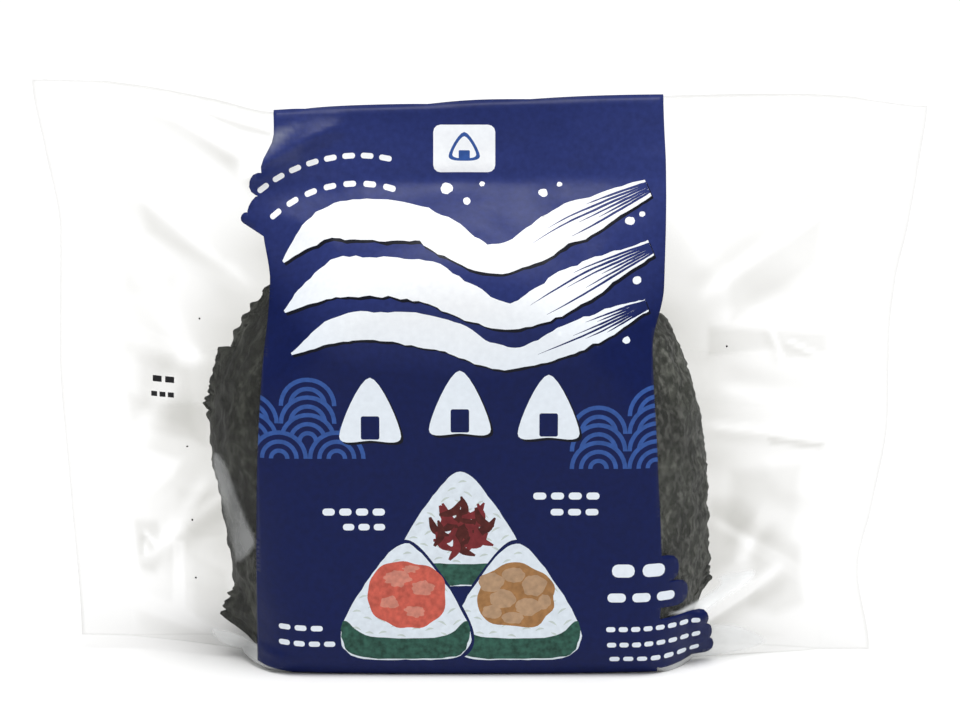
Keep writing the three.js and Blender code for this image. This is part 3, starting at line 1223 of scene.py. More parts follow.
    def build_fin(self) -> None:
        """Makes the flat fin seal that lies folded down along the back, printed where the band is."""
        x = np.linspace(*self.fin_ends, self.fin_columns)
        grid_x, t = np.meshgrid(x, np.linspace(0, 1, self.fin_rows), indexing="ij")
        droop = self.fin_droop * noise_at(grid_x, t * 10, 18, 8, 5.5)
        sway = self.fin_sway * noise_at(grid_x, t, 40, 9, 2.2)
        z = self.fin_height + self.fin_width * (0.5 - t) + sway
        ribs = self.fin_rib_height * np.sin(t * 24)
        y = self.film.half_at(grid_x, z, Side.BACK) + self.fin_gap
        y += (self.fin_lift + droop.clip(-0.3, 1)) * t + ribs
        points = np.column_stack([grid_x.ravel(), y.ravel(), z.ravel()])
        faces = grid_faces(self.fin_columns, self.fin_rows, flip=True)
        printed = (self.band_left < x[:-1]) & (x[:-1] < self.band_right)
        slots = np.repeat(printed.astype(int), self.fin_rows - 1).tolist()
        materials = [self.fin.material(), self.fin_ink.material()]
        fin = make_object("back_fin_seal", points, faces, materials, slots)
        settle(fin, "pouch")


@dataclass
class Drawing:
    """A flat print layout: polygons of ink, later ones over earlier ones."""

    shapes: list[tuple[Ink, Array]] = field(default_factory=list)

    def polygon(self, ink: Ink, points: Array) -> None:
        """Adds a filled polygon."""
        self.shapes.append((ink, np.asarray(points, dtype=float)))

    def brush_line(self, path: Pairs, widths: Widths, steps: int) -> tuple[Array, Array, Array]:
        """Follows a brush along its path.

        Args:
            path: places that it runs through.
            widths: its width at each of them.
            steps: points between two places.

        Returns:
            Points of the middle line, half widths there, and directions across.
        """
        at = np.linspace(0, len(path) - 1, (len(path) - 1) * steps + 1)
        line = catmull(np.array(path, dtype=float), at)
        half = np.maximum(catmull(np.array(widths, dtype=float), at), 0.05) / 2
        along = np.gradient(line, axis=0)
        along /= np.linalg.norm(along, axis=1)[:, None]
        return line, half, np.column_stack([-along[:, 1], along[:, 0]])

    def stroke(self, ink: Ink, path: Pairs, widths: Widths, steps: int = 6, rough: float = 0.0) -> None:
        """Adds a brush stroke of changing width.

        Args:
            ink: its colour.
            path: places that it runs through.
            widths: its width at each of them.
            steps: points between two places.
            rough: unevenness of its edges as a share of its width.
        """
        line, half, across = self.brush_line(path, widths, steps)
        at = np.arange(len(line)) / steps
        seed = path[0][0] * 1.7 + path[-1][1]
        over = half * (1 + rough * self.bristles(at, seed))
        under = half * (1 + rough * self.bristles(at, seed + 9))
        left, right = line + across * over[:, None], line - across * under[:, None]
        self.polygon(ink, np.vstack([left, right[::-1]]))

    def bristles(self, at: Array, seed: float) -> Array:
        """Unevenness along a brush stroke's edge, in long and short waves."""
        return noise_at(at * 2.3, at, 1.0, 1.0, seed) + 0.7 * noise_at(at * 9.0, at, 1.0, 1.0, seed + 3)

    def dry_streaks(self, ink: Ink, path: Pairs, widths: Widths, count: int) -> None:
        """Adds the thin gaps that a dry brush leaves along the end of a stroke.

        Args:
            ink: the ground's colour.
            path: places that the stroke runs through.
            widths: its width at each of them.
            count: number of gaps.
        """
        line, half, across = self.brush_line(path, widths, 14)
        last = len(line) - 1
        for k in range(count):
            off = 1.5 * (k + 0.5) / count - 0.75
            start = int(last * (0.66 + 0.2 * abs(math.sin(k * 2.4 + path[0][1]))))
            places = np.linspace(start, last, 5).astype(int)
            run = line[places] + across[places] * (half[places] * off)[:, None]
            self.stroke(ink, tuple(tuple(p) for p in run), (0.05, 0.28, 0.42, 0.45, 0.4), 5, 0.3)

    def ring(
        self, ink: Ink, centre: Pair, outer: float, inner: float, start: float = 0.0, end: float = 180.0
    ) -> None:
        """Adds an arc of a ring, or a filled sector where inner is nought.

        Args:
            ink: its colour.
            centre: the ring's centre.
            outer: outer radius.
            inner: inner radius.
            start: first angle in degrees, from +X towards +Z.
            end: last angle.
        """
        angles = np.radians(np.linspace(start, end, 19))
        ray = np.column_stack([np.cos(angles), np.sin(angles)])
        low = ray[::-1] * inner if inner > 0 else np.zeros((1, 2))
        self.polygon(ink, np.array(centre) + np.vstack([ray * outer, low]))

    def box(self, ink: Ink, centre: Pair, size: Pair, radius: float, angle: float = 0.0) -> None:
        """Adds a rounded rectangle.

        Args:
            ink: its colour.
            centre: its middle.
            size: width and height.
            radius: of its corners.
            angle: its tilt in degrees.
        """
        points = []
        for turn, (sx, sz) in enumerate(((1, 1), (-1, 1), (-1, -1), (1, -1))):
            corner = np.array([sx * (size[0] / 2 - radius), sz * (size[1] / 2 - radius)])
            for step in range(4):
                a = math.radians(90 * turn + 30 * step)
                points.append(corner + radius * np.array([math.cos(a), math.sin(a)]))
        tilt = math.radians(angle)
        spin = np.array([[math.cos(tilt), math.sin(tilt)], [-math.sin(tilt), math.cos(tilt)]])
        self.polygon(ink, np.array(points) @ spin + np.array(centre))

    def blob(self, ink: Ink, centre: Pair, size: Pair, wobble: float, seed: float, points: int) -> None:
        """Adds a rounded blot with an uneven edge.

        Args:
            ink: its colour.
            centre: its middle.
            size: width and height.
            wobble: unevenness as a share of its radius.
            seed: picks the unevenness.
            points: corners of its outline.
        """
        a = np.linspace(0, 2 * math.pi, points, endpoint=False)
        uneven = 1 + wobble * noise_at(np.cos(a), np.sin(a), 0.5, 0.5, seed)
        ray = np.column_stack([np.cos(a) * size[0] / 2, np.sin(a) * size[1] / 2])
        self.polygon(ink, np.array(centre) + ray * uneven[:, None])


@dataclass(kw_only=True)
class BandPrint(Drawing):
    """All that is printed on the band's dark ground: plain generic shapes in fields of colour."""

    length: float
    dash_share: float = 0.74
    scallop_radius: float = 5.6

    def __post_init__(self) -> None:
        """Draws everything, from the badge to the back."""
        self.draw_badge()
        self.draw_dashes()
        self.draw_scallops()
        self.draw_brush_waves()
        self.draw_small_row()
        self.draw_pile()
        self.draw_back()

    def draw_badge(self) -> None:
        """A pale rounded badge with a plain rice ball on it."""
        self.box(Ink.WHITE, (-3.1, 102.4), (12.2, 9.2), 1.4)
        rim = closed_curve(((0, 3.5), (3.1, -1.2), (0, -2.1), (-3.1, -1.2)), 6)
        for ink, size in ((Ink.WAVE, 1.0), (Ink.WHITE, 0.76)):
            self.polygon(ink, np.array((-3.1, 102.1)) + rim * size)
        self.box(Ink.WAVE, (-3.1, 101.1), (2.2, 1.9), 0.2)

    def draw_dashes(self) -> None:
        """Rows of plain dashes where a pack has its small print."""
        for radius, start, end, count in ((31.0, 127, 80, 8), (25.6, 129, 76, 7)):
            for angle in np.linspace(start, end, count):
                a = math.radians(angle)
                centre = (-24 + radius * math.cos(a), 70 + radius * math.sin(a))
                self.box(Ink.WHITE, centre, (2.5, 1.1), 0.5, angle - 90)
        rows = (
            (-24.6, 33.4, 13.0, 1.4), (-22.6, 30.4, 9.0, 1.3), (16.8, 36.6, 13.8, 1.4),
            (18.4, 33.4, 10.2, 1.3), (31.0, 21.6, 12.0, 2.6),
            (31.6, 16.2, 14.6, 1.8), (34.2, 9.8, 19.6, 1.0), (34.4, 6.6, 19.6, 1.0),
            (34.6, 3.5, 19.0, 1.0), (-35.2, 10.0, 9.6, 1.1), (-34.0, 6.8, 12.0, 1.1),
        )
        for x, z, length, height in rows:
            parts = max(2, round(length / (height * 2.6)))
            for k in range(parts):
                centre = (x + length * ((k + 0.5) / parts - 0.5), z)
                self.box(Ink.WHITE, centre, (length / parts * self.dash_share, height), height * 0.45)

    def draw_scallops(self) -> None:
        """Mounds of overlapping wave scallops at both sides, a traditional pattern."""
        radius = self.scallop_radius
        mounds = ((-39.0, 44.0, (3, 3, 2, 1)), (28.6, 42.0, (2, 3, 2, 1)))
        for centre, base, counts in mounds:
            for row, count in reversed(list(enumerate(counts))):
                for k in range(count):
                    offset = (2 * k - count + 1 + row % 2) * radius
                    place = (centre + offset, base + row * radius * 0.62)
                    self.ring(Ink.NAVY, place, radius, 0)
                    for outer in (1.0, 0.68, 0.36):
                        self.ring(Ink.WAVE, place, radius * outer, radius * (outer - 0.15))

    def draw_brush_waves(self) -> None:
        """Three long brushed waves in white, each over its own dark shade, with a few drops."""
        waves = (
            (((-38.5, 81), (-29, 88.6), (-12, 88.8), (3, 82.6), (18, 88.6), (33, 95)),
             (0.5, 6.4, 7.2, 5.0, 7.0, 3.0)),
            (((-38, 72), (-27, 78.8), (-10, 78.4), (5, 72.0), (19, 77.6), (33.5, 83.6)),
             (0.5, 6.8, 7.6, 5.2, 7.0, 3.0)),
            (((-36.5, 64.4), (-25, 69.8), (-8, 68.6), (6, 63.8), (20, 68.6), (32.5, 73)),
             (0.4, 5.4, 6.6, 4.2, 5.8, 2.4)),
        )
        for path, widths in waves:
            shade = tuple((x + 0.4, z - 0.5) for x, z in path)
            self.stroke(Ink.SHADE, shade, widths, 14, 0.22)
            self.stroke(Ink.WHITE, path, widths, 14, 0.22)
            self.dry_streaks(Ink.NAVY, path, widths, 6)
        drops = (
            (-6.6, 94.8, 2.0), (-2.6, 92.6, 1.2), (0.4, 95.6, 0.9), (29.4, 88.8, 1.6),
            (31.8, 90.0, 1.0), (30.6, 77.6, 1.5), (12.4, 94.0, 1.5), (15.6, 95.6, 0.9),
            (28.4, 66.8, 1.3),
        )
        for x, z, size in drops:
            self.blob(Ink.WHITE, (x, z), (size * 1.2, size), 0.2, x, 14)

    def draw_small_row(self) -> None:
        """Three plain rice balls in a row."""
        rim = closed_curve(((0, 7.0), (6.0, -4.6), (0, -5.4), (-6.0, -4.6)), 8)
        for x, z in ((-21.3, 53.0), (-3.9, 54.4), (13.3, 53.6)):
            self.polygon(Ink.SHADE, np.array((x + 0.5, z - 0.5)) + rim)
            self.polygon(Ink.WHITE, np.array((x, z)) + rim)
            self.box(Ink.NAVY, (x, z - 2.9), (3.6, 4.6), 0.4)

    def draw_pile(self) -> None:
        """Three rice balls in a pile, each with its own topping, in flat fields of colour."""
        self.draw_rice_ball((-3.8, 29.0), 1.0)
        self.draw_kelp((-3.8, 30.4))
        self.draw_rice_ball((7.0, 14.3), 1.04)
        self.draw_flakes((6.8, 16.6))
        self.draw_rice_ball((-14.6, 14.3), 1.04)
        self.draw_roe((-14.2, 16.8))

    def draw_rice_ball(self, centre: Pair, size: float) -> None:
        """One rice ball with grains and a seaweed foot.

        Args:
            centre: its middle.
            size: its scale, one for about 25 mm width.
        """
        body = ((0, 12.4), (6.8, 5.6), (12.2, -4.6), (9.6, -9.8), (0, -10.4), (-9.6, -9.8),
                (-12.2, -4.6), (-6.8, 5.6))
        foot = ((-11.6, -2.6), (-7.6, -5.4), (0, -6.0), (7.6, -5.4), (11.6, -2.6), (11.9, -6.4),
                (9.4, -9.6), (0, -10.2), (-9.4, -9.6), (-11.9, -6.4))
        middle = np.array(centre)
        rim = closed_curve(body, 9)
        uneven = 1 + 0.02 * noise_at(rim[:, 0], rim[:, 1], 1.6, 1.6, centre[0])[:, None]
        self.polygon(Ink.NAVY, middle + rim * size * 1.055)
        self.polygon(Ink.RICE, middle + rim * size * uneven)
        for k, (x, z) in enumerate(spiral(60, (11.5, 11.0))):
            tilt = 0.55 * math.sin(k * 1.9)
            if inside_polygon(np.array(x), np.array(z), rim * 0.94):
                a, b = centre[0] + x * size, centre[1] + z * size
                grain = ((a - 0.8, b - tilt), (a, b + 0.2), (a + 0.8, b + tilt))
                self.stroke(Ink.GRAIN, grain, (0.1, 0.42, 0.1), 3)
        wrap = closed_curve(foot, 6)
        painted = 1 + 0.025 * noise_at(wrap[:, 0], wrap[:, 1], 1.2, 1.2, centre[1])[:, None]
        self.polygon(Ink.NORI, middle + wrap * size * painted)

    def draw_roe(self, centre: Pair) -> None:
        """A coral heap with pale lumps.

        Args:
            centre: its middle.
        """
        x, z = centre
        self.blob(Ink.CORAL, centre, (15.6, 13.6), 0.14, 7.7, 64)
        for dx, dz, w, h in ((-1.9, 3.3, 5.6, 3.2), (3.0, 1.4, 4.4, 2.8), (-3.4, -1.6, 3.4, 2.4),
                             (1.6, -3.4, 4.2, 2.2), (0.6, 5.2, 3.0, 1.5)):
            self.blob(Ink.PINK, (x + dx, z + dz), (w, h), 0.45, dx, 28)

    def draw_kelp(self, centre: Pair) -> None:
        """A tangle of dark red strips.

        Args:
            centre: its middle.
        """
        for k, (across, up) in enumerate(spiral(30, (5.4, 4.4))):
            x, z = centre[0] + across, centre[1] + up
            lean = 1.3 * math.sin(k * 2.1) + 0.4
            dx, dz = 2.6 * math.cos(lean), 2.6 * math.sin(lean)
            path = ((x - dx, z - dz), (x + dz * 0.4, z - dx * 0.4), (x + dx, z + dz))
            self.stroke(Ink.MAROON if k % 2 else Ink.RUSSET, path, (0.5, 1.6, 0.4), 5, 0.1)

    def draw_flakes(self, centre: Pair) -> None:
        """A beige heap of flakes with darker gaps between them.

        Args:
            centre: its middle.
        """
        x, z = centre
        self.blob(Ink.CREASE, centre, (15.8, 13.2), 0.16, 3.4, 56)
        for dx, dz, w, h in ((-4.6, 2.8, 4.8, 3.8), (-0.2, 4.2, 4.6, 3.0), (3.8, 2.2, 4.6, 4.2),
                             (-2.2, -0.6, 5.0, 3.6), (2.6, -2.2, 5.2, 3.4), (-4.4, -3.2, 3.8, 2.8),
                             (-0.4, -4.4, 4.4, 2.4), (5.8, -1.2, 2.6, 3.0)):
            self.blob(Ink.BEIGE, (x + dx, z + dz), (w, h), 0.22, dz, 24)

    def draw_back(self) -> None:
        """A pale panel with rows of dashes and a field of wave scallops, on the back."""
        self.box(Ink.WHITE, (-4, self.length - 82), (62, 22), 1.6)
        for row in range(6):
            for k in range(9 - row % 2):
                x = -30 + 6.2 * k
                self.box(Ink.NAVY, (x, self.length - 74.5 - 3.0 * row), (4.6, 0.9), 0.4)
        for row in range(4):
            for k in range(7):
                centre = (-31 + row % 2 * 4.5 + 9 * k, self.length - 14 - row * 4.0)
                for outer in (4.4, 2.9, 1.4):
                    self.ring(Ink.WAVE, centre, outer, outer - 0.6, 180, 360)


@dataclass
class PrintedBand:
    """The dark printed band that runs round the pack, with its plain generic print."""

    film: FilmShape
    left: Pairs = (
        (0, -44.2), (36, -43.6), (60, -42.4), (77, -41.0), (87, -42.6), (99, -42.9),
        (105, -40.6), (113, -40.8),
    )
    right: Pairs = (
        (0, 35.0), (20, 35.6), (43, 34.6), (65, 33.6), (76, 36.0), (97, 36.6), (113, 36.1),
    )
    # painted highlights where the band's film folds at its top left corner and catches the light
    fold_highlights: tuple[PaintedLightPatch, ...] = (
        PaintedLightPatch(((-42.6, 106.4), (-33.6, 108.2), (-38.2, 103.2), (-44.4, 98.2), (-43.6, 101.6)), 0.9, 2.4),
        PaintedLightPatch(((-40.4, 101.2), (-33.6, 105.2), (-35.0, 99.4), (-43.6, 97.4)), 0.16, 2.0),
    )
    corner_cut: float = 7.5
    floor_gap: float = 0.15
    lift: float = 0.32
    thickness: float = 0.12
    grid_step: float = 0.95
    grid_inset: float = 0.4
    longest_edge: float = 1.4
    outline_rows: int = 150
    patch_reach: float = 12.0
    inks: tuple[InkFinish, ...] = (
        # the navy and white inks carry a painted highlight colour for the band's upper part
        InkFinish("navy_ink", (0.0024, 0.0082, 0.070), painted_highlight_colour=(0.024, 0.037, 0.165)),
        InkFinish("white_ink", (0.79, 0.85, 0.92), 0.03, painted_highlight_colour=(0.95, 0.96, 0.98)),
        InkFinish("wave_blue_ink", (0.032, 0.088, 0.31), 0.15),
        InkFinish("rice_white_ink", (0.72, 0.79, 0.86), 0.06),
        InkFinish("rice_grain_ink", (0.55, 0.62, 0.60), 0.08),
        InkFinish("seaweed_green_ink", (0.026, 0.088, 0.065), 0.45),
        InkFinish("coral_ink", (0.54, 0.105, 0.074), 0.22),
        InkFinish("maroon_ink", (0.075, 0.014, 0.012), 0.3),
        InkFinish("beige_ink", (0.43, 0.275, 0.165), 0.15),
        InkFinish("ochre_line_ink", (0.34, 0.17, 0.065), 0.2),
        InkFinish("shade_ink", (0.0035, 0.0045, 0.012)),
        InkFinish("pink_ink", (0.58, 0.22, 0.165), 0.18),
        InkFinish("russet_ink", (0.17, 0.022, 0.026), 0.25),
    )

    def outline(self) -> Array:
        """Works out the band's flat outline, up its left edge and back down its right edge.

        Returns:
            Its corners, as places across and along, one per row.
        """
        length = self.film.sheet_length()
        along = np.linspace(self.floor_gap, length - self.floor_gap, self.outline_rows)
        height = np.minimum(along, length - along)
        left = np.column_stack([smooth_curve(self.left, height), along])
        left[0, 0] += self.corner_cut
        left[-1, 0] += self.corner_cut
        right = np.column_stack([smooth_curve(self.right, height), along])
        return np.vstack([left, right[::-1]])

    def edge_patches(self) -> list[Array]:
        """Draws the rounded patches of print that reach out past the band's side edges.

        Returns:
            The outline of each patch.
        """
        sketch = Drawing()
        for centre, size, radius, angle in (
            ((-42.6, 95.3), (5.6, 4.6), 2.0, -20), ((-43.0, 90.6), (5.0, 5.2), 2.0, -30),
            ((-43.6, 87.6), (7.6, 2.2), 1.0, -32), ((35.4, 21.6), (7.4, 5.4), 2.2, 0),
            ((36.6, 16.4), (9.0, 5.2), 2.3, 0), ((39.2, 9.6), (12.4, 4.2), 1.8, 4),
            ((39.9, 6.3), (12.8, 4.4), 1.8, 3), ((40.4, 3.2), (12.8, 4.0), 1.8, 2),
        ):
            sketch.box(Ink.NAVY, centre, size, radius, angle)
        return [points for _, points in sketch.shapes]

    def build(self) -> None:
        """Cuts the band along its print, lays it on the film and dresses it."""
        outline, patches = self.outline(), self.edge_patches()
        drawing = BandPrint(length=self.film.sheet_length())
        points, triangles = self.cut_sheet(outline, patches, drawing)
        centre = points[triangles].mean(axis=1)
        inside = inside_polygon(centre[:, 0], centre[:, 1], outline)
        for patch in patches:
            inside |= inside_polygon(centre[:, 0], centre[:, 1], patch)
        triangles, centre = triangles[inside], centre[inside]
        slots = np.zeros(len(triangles), dtype=int)
        for ink, shape in drawing.shapes:
            slots[inside_polygon(centre[:, 0], centre[:, 1], shape)] = ink.value
        places = self.film.wrapped(points[:, 0], points[:, 1], self.lift)
        used, corners = np.unique(triangles, return_inverse=True)
        faces = corners.reshape(-1, 3).tolist()
        materials = [ink.material() for ink in self.inks]
        band = make_object("print_band", places[used], faces, materials, slots.tolist())
        # painted highlight: the stored fold amount
        paint(band, "fold", sum(fold.tone(*points[used].T) for fold in self.fold_highlights))
        add_thickness(band, self.thickness)
        settle(band, "printed_band")

    def cut_sheet(self, outline: Array, patches: list[Array], drawing: Drawing) -> tuple[Array, Array]:
        """Triangulates the flat band so that every print edge is a mesh edge.

        Args:
            outline: the band's outline.
            patches: the patches that reach past it.
            drawing: the print.

        Returns:
            Flat points, and triangles as rows of point numbers.
        """
        low, high = outline.min(axis=0), outline.max(axis=0)
        across = np.arange(low[0] + self.grid_inset, high[0] + self.patch_reach, self.grid_step)
        up = np.arange(low[1] + self.grid_inset, high[1], self.grid_step)
        grid = np.array([(x, z) for x in across for z in up])
        points, edges = [grid], []
        count = len(grid)
        for drawn in [outline, *patches, *(shape for _, shape in drawing.shapes)]:
            polygon = split_edges(drawn, self.longest_edge)
            number = count + np.arange(len(polygon))
            edges += list(zip(number.tolist(), np.roll(number, -1).tolist()))
            points.append(polygon)
            count += len(polygon)
        flat = [Vector(p) for p in np.vstack(points).tolist()]
        cut = geometry.delaunay_2d_cdt(flat, edges, [], 0, 1e-4)
        return np.array([tuple(point) for point in cut[0]]), np.array(cut[2])


@dataclass
class RiceBall:
    """The rice ball in its wrinkled seaweed, with torn edges that stand off it."""

    ball: BallShape
    film: FilmShape
    film_gap: float = 0.35
    least_half: float = 0.3
    middle: Pair = (-4.0, 40.0)
    underside: Pairs = (
        (-51, 9.0), (-48, 7.2), (-44.5, 4.8), (-36, 2.8), (-30, 0.9), (24, 0.9), (31, 3.0),
        (36, 6.0), (42, 10.5), (46, 15.0),
    )
    shrink: float = 0.75
    rim_fill: float = 0.5
    rim_depth: float = 8.0
    lumps: tuple[tuple[float, float, float, float], ...] = (
        (-45.6, 70.8, 1.2, 1.1), (-47.4, 68.4, 1.7, 1.2), (-49.0, 65.4, 1.4, 1.1),
        (-52.6, 57.2, 1.2, 1.2), (-53.6, 54.4, 1.7, 1.4), (-54.4, 51.2, 2.4, 1.2),
        (-54.3, 48.6, 1.3, 1.0), (-51.8, 33.0, 0.5, 1.2), (46.2, 38.0, 0.6, 0.9),
        (46.3, 27.4, 0.6, 0.9), (46.0, 21.8, 1.0, 1.0), (45.6, 19.2, 1.4, 1.1),
        (45.3, 16.6, 1.5, 1.1), (44.9, 14.0, 1.4, 1.2), (44.4, 11.4, 1.1, 1.0),
    )
    rice_height: float = 0.6
    wrinkle_height: float = 1.1
    pleat_height: float = 0.55
    pucker_height: float = 0.55
    fibre_height: float = 0.22
    least_felt: float = 0.3
    around: int = 520
    inward: int = 80
    weld_distance: float = 0.02
    flap_rows: int = 46
    flap_columns: int = 22
    flap_thickness: float = 0.35
    flap_lift: float = 0.9
    crumb_share: float = 0.5
    nori: NoriFinish = NoriFinish("nori_sheet")

    def build(self) -> None:
        """Makes the ball and the loose flaps."""
        material = self.nori.material()
        self.build_ball(material)
        self.build_flaps(material)

    def build_ball(self, material: Material) -> None:
        """Makes the closed ball with its relief.

        Args:
            material: the seaweed.
        """
        polygon = self.ball.polygon()
        at = np.linspace(0, len(polygon), self.around, endpoint=False)
        start = np.floor(at).astype(int)
        part = (at - start)[:, None]
        ring = polygon[start] * (1 - part) + np.roll(polygon, -1, axis=0)[start] * part
        spread = np.sin(np.linspace(0, math.pi / 2, self.inward))[:, None, None]
        flat = self.middle + (ring - self.middle)[None] * spread
        x, z = flat[..., 0], flat[..., 1]
        half = self.ball.half_at(x, z)
        z = np.maximum(z, smooth_curve(self.underside, x))
        half[-1] = 0
        rows = [np.column_stack([x[k], -half[k], z[k]]) for k in range(self.inward)]
        rows += [np.column_stack([x[k], half[k], z[k]]) for k in range(self.inward - 2, -1, -1)]
        faces = grid_faces(len(rows), self.around, closed=True, flip=True)
        piece = make_object("nori_ball", np.vstack(rows), faces, [material])
        weld = piece.modifiers.new("weld", "WELD")
        weld.merge_threshold = self.weld_distance * MM
        self.roughen(piece)
        settle(piece, "pouch")

    def roughen(self, piece: Piece) -> None:
        """Pushes the surface in and out with rice bumps, wrinkles and crumbly edges.

        Args:
            piece: the ball.
        """
        points, normals = read_vectors(piece, "co") / MM, read_vectors(piece, "normal")
        relief = np.array([self.relief(Vector(p)) for p in points.tolist()])
        x, y, z = points.T
        relief += self.rim_fill * np.exp(-((y / self.rim_depth) ** 2))
        for lump_x, lump_z, height, radius in self.lumps:
            away = (x - lump_x) ** 2 + (0.6 * y) ** 2 + (z - lump_z) ** 2
            relief += height * np.exp(-away / radius**2)
        points -= normals * (self.shrink - relief)[:, None]
        points[:, 2] = np.maximum(points[:, 2], smooth_curve(self.underside, points[:, 0]))
        piece.data.vertices.foreach_set("co", (self.inside_film(points) * MM).ravel())
        piece.data.update()

    def inside_film(self, points: Array) -> Array:
        """Moves points that would come through the film back under it.

        Args:
            points: one point per row.

        Returns:
            The points, a small gap inside the film.
        """
        x, y, z = points.T
        front, back = (
            np.maximum(self.film.half_at(x, z, side) - self.film_gap, self.least_half) for side in Side
        )
        return np.column_stack([x, np.clip(y, -front, back), z])

    def relief(self, p: Vector) -> float:
        """Height of the seaweed's relief at a place.

        Args:
            p: the place.

        Returns:
            Millimetres outwards.
        """
        rice = self.rice_height * noise.noise(p * 0.33)
        wrinkle = self.wrinkle_height * abs(noise.noise(Vector((p.x * 0.13, p.y * 0.13, p.z * 0.105))))
        pleat = self.pleat_height * abs(noise.noise(Vector((p.x * 0.31, p.y * 0.31, p.z * 0.27 + 7))))
        pucker = self.pucker_height * abs(noise.noise(Vector((p.x * 0.8 + 3, p.y * 0.8, p.z * 0.62))))
        fibre = self.fibre_height * noise.noise(p * 1.3)
        felt = self.least_felt + (1 - self.least_felt) * float(smooth_step((p.x + 10) / 40))
        return rice - wrinkle - pleat + felt * (fibre - pucker)

    def build_flaps(self, material: Material) -> None:
        """Makes the torn seaweed edges that stand out at the sides.

        Args:
            material: the seaweed.
        """
        flaps = (
            ("painted_highlight_colour", (-42.0, -6, 75.5), (-36.5, -9, 80.5), (-49.6, -3, 63), (-42.5, -14, 62), 0.9),
            ("shoulder", (-52.0, -2, 62.6), (-46.5, -7, 63.2), (-54.2, 0, 55), (-49.0, -8, 50), 0.35),
            ("nub", (-53.6, 1, 56), (-50.5, -4, 57), (-55.6, 1, 50.5), (-51.5, -5, 48), 0.7),
            ("lower", (-49.2, -6, 15.4), (-43.6, -12, 15.8), (-52.2, -5, 8.6), (-43.0, -14, 4.0), 1.0),
            ("right", (45.4, -4, 22.5), (41.5, -12, 24), (45.8, -3, 14.5), (41.0, -12, 9.0), 1.2),
        )
        for number, (name, *corners, rag) in enumerate(flaps):
            flap = self.flap_points(np.array(corners, dtype=float), rag, 11.0 + number * 3.7)
            faces = grid_faces(self.flap_rows, self.flap_columns)
            piece = make_object("nori_flap_" + name, self.inside_film(flap), faces, [material])
            add_thickness(piece, self.flap_thickness)
            settle(piece, "pouch")

    def flap_points(self, corners: Array, rag: float, seed: float) -> Array:
        """Works out one torn flap between four corners.

        Args:
            corners: outer top, inner top, outer bottom and inner bottom.
            rag: how far its edges are torn, in millimetres.
            seed: picks the tears.

        Returns:
            Its points, row by row.
        """
        a, b, c, d = corners
        points = []
        for j, t in enumerate(np.linspace(0, 1, self.flap_rows)):
            for i, s in enumerate(np.linspace(0, 1, self.flap_columns)):
                p = (a * (1 - s) + b * s) * (1 - t) + (c * (1 - s) + d * s) * t
                torn = rag * noise.noise(Vector((j * 0.17, i * 0.1, seed)))
                crumb = self.crumb_share * rag * noise.noise(Vector((j * 0.45, i * 0.3, seed + 5)))
                lift = self.flap_lift * noise.noise(Vector((s * 3, t * 4, seed + 9)))
                points.append(p + ((torn + crumb) * (1 - s), lift, crumb * 0.6 * math.sqrt(1 - t)))
        return np.array(points)


@dataclass
class NoriSpecks:
    """A few seaweed specks that cling to the inside of the film."""

    film: FilmShape
    nori: NoriFinish = NoriFinish("nori_speck")
    specks: Pairs = ((-55.2, 69.4), (-58.0, 43.8), (-57.2, 29.0), (-56.8, 16.8), (48.6, 64.0))
    radius: float = 0.2
    rings: int = 6
    spokes: int = 8

    def build(self) -> None:
        """Makes all specks as one piece."""
        points, faces = [], []
        for number, (x, z) in enumerate(self.specks):
            half = float(self.film.half_at(np.array([x]), np.array([z]), Side.FRONT)[0])
            self.add_speck(points, faces, (x, self.radius - half, z), number * 2.1)
        specks = make_object("nori_specks", np.array(points), faces, [self.nori.material()])
        settle(specks, "pouch")

    def add_speck(self, points: list[list[float]], faces: Faces, centre: Triple, seed: float) -> None:
        """Adds one uneven speck.

        Args:
            points: points so far, added to.
            faces: faces so far, added to.
            centre: its middle.
            seed: picks its unevenness.
        """
        faces += grid_faces(self.rings + 1, self.spokes, closed=True, start=len(points))
        for ring in range(self.rings + 1):
            fall = math.pi * ring / self.rings
            out, up = math.sin(fall), math.cos(fall)
            for spoke in range(self.spokes):
                turn = 2 * math.pi * spoke / self.spokes
                ray = Vector((out * math.cos(turn), out * math.sin(turn), up))
                reach = self.radius * (1 + 0.5 * noise.noise(ray * 1.4 + Vector((seed, 0, 0))))
                points.append([c + r * reach for c, r in zip(centre, ray)])


@dataclass
class CutMark:
    """Two rows of small dark dashes on the clear film, where it is to be cut open."""

    film: FilmShape
    ink: InkFinish = InkFinish("mark_ink", (0.015, 0.015, 0.017))
    rows: tuple[tuple[float, float, int, float], ...] = ((-62.8, 56.8, 2, 1.2), (-63.0, 53.8, 3, 1.0))
    length: float = 5.2
    dash_share: float = 0.72
    dash_points: int = 4
    lift: float = 0.12

    def build(self) -> None:
        """Makes the dashes."""
        points, faces = [], []
        for x, z, count, height in self.rows:
            for k in range(count):
                middle = x + self.length * ((k + 0.5) / count - 0.5)
                width = self.length / count * self.dash_share
                self.add_dash(points, faces, (middle, z), (width, height))
        mark = make_object("cut_mark", np.array(points), faces, [self.ink.material()])
        settle(mark)

    def add_dash(self, points: list[list[float]], faces: Faces, centre: Pair, size: Pair) -> None:
        """Adds one dash that follows the film.

        Args:
            points: points so far, added to.
            faces: faces so far, added to.
            centre: its middle.
            size: its width and height.
        """
        faces += grid_faces(self.dash_points, self.dash_points, start=len(points))
        spread = np.arange(self.dash_points) / (self.dash_points - 1) - 0.5
        x, z = np.meshgrid(centre[0] + size[0] * spread, centre[1] + size[1] * spread, indexing="ij")
        y = -self.film.half_at(x, z, Side.FRONT) - self.lift
        points += np.column_stack([x.ravel(), y.ravel(), z.ravel()]).tolist()


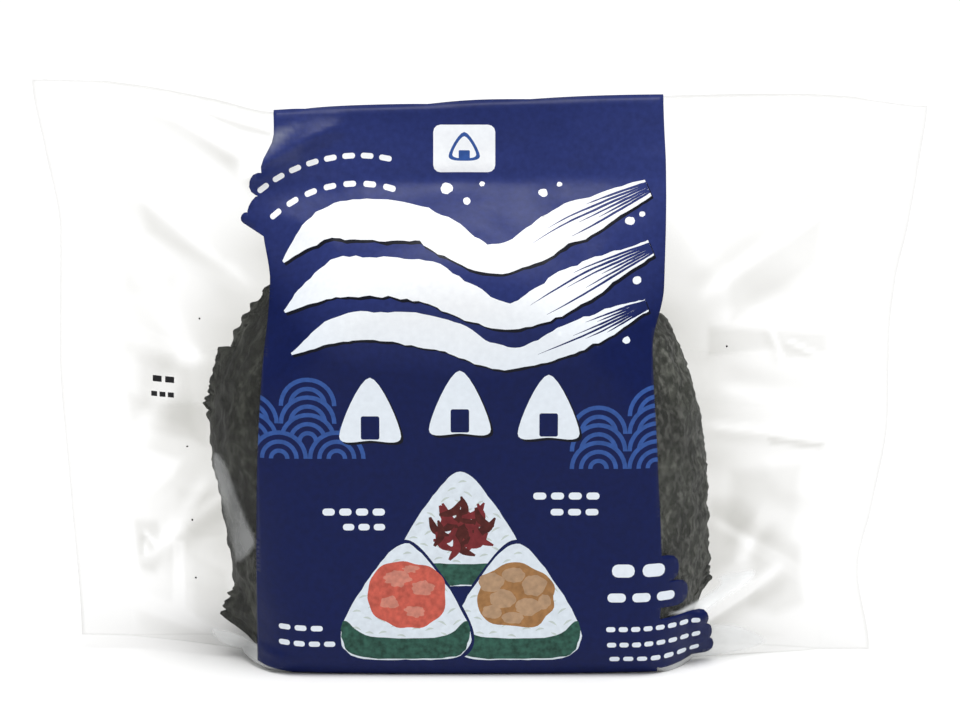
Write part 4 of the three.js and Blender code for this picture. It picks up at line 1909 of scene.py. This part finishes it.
@dataclass
class Studio:
    """Pale floor, soft light and the camera."""

    camera_distance: float = 640.0
    camera_elevation: float = 10.0
    target_height: float = 60.0
    lens: float = 120.0
    sensor_width: float = 36.0
    clip_range: Pair = (0.01, 60.0)
    floor_radius: float = 9000.0
    floor_drop: float = 0.05
    floor_corners: int = 96
    world_strength: float = 0.44
    sun_strength: float = 2.5
    sun_spread: float = 36.0
    sun_direction: Triple = (0.08, -0.24, 1.0)

    def build(self) -> None:
        """Makes the floor, the lights and the camera."""
        self.build_floor()
        self.build_world()
        self.build_lights()
        self.build_camera()
        bpy.context.scene.view_settings.view_transform = "Standard"

    def build_floor(self) -> None:
        """Makes a wide pale disc just under the pack."""
        count = self.floor_corners
        points = [Vector((0.0, 0.0, -self.floor_drop))]
        for k in range(count):
            a = 2 * math.pi * k / count
            points.append(points[0] + self.floor_radius * Vector((math.cos(a), math.sin(a), 0.0)))
        faces = [(0, 1 + k, 1 + (k + 1) % count) for k in range(count)]
        floor = make_object("studio_floor", np.array(points), faces, [FloorFinish().material()])

    def build_world(self) -> None:
        """Sets an even pale surrounding light."""
        world = bpy.data.worlds.new("studio_air")
        world.use_nodes = True
        back = world.node_tree.nodes["Background"]
        back.inputs["Color"].default_value = (1.0, 1.0, 1.0, 1)
        back.inputs["Strength"].default_value = self.world_strength
        bpy.context.scene.world = world

    def build_lights(self) -> None:
        """Makes one broad sun from above the front."""
        sun = bpy.data.lights.new("broad_sun", "SUN")
        sun.energy = self.sun_strength
        sun.angle = math.radians(self.sun_spread)
        holder = bpy.data.objects.new("broad_sun", sun)
        holder.rotation_euler = Vector(self.sun_direction).to_track_quat("Z", "Y").to_euler()
        bpy.context.scene.collection.objects.link(holder)

    def build_camera(self) -> None:
        """Places the camera at the photograph's viewing angle."""
        lens = bpy.data.cameras.new("camera")
        lens.lens = self.lens
        lens.sensor_width = self.sensor_width
        lens.clip_start, lens.clip_end = self.clip_range
        camera = bpy.data.objects.new("camera", lens)
        tilt = math.radians(self.camera_elevation)
        way = Vector((0, -math.cos(tilt), math.sin(tilt)))
        target = Vector((0, 0, self.target_height * MM))
        camera.location = target + way * self.camera_distance * MM
        camera.rotation_euler = way.to_track_quat("Z", "Y").to_euler()
        bpy.context.scene.collection.objects.link(camera)
        bpy.context.scene.camera = camera


def main() -> None:
    """Builds the pack, its contents and the studio."""
    logging.basicConfig(level=logging.INFO, format="%(name)s: %(message)s")
    Studio().build()
    ball = BallShape()
    film = FilmShape(ball)
    log.info("film sheet %d by %d", *film.x.shape)
    ClearPouch(film).build()
    PrintedBand(film).build()
    RiceBall(ball, film).build()
    NoriSpecks(film).build()
    CutMark(film).build()


if __name__ == "__main__":
    main()
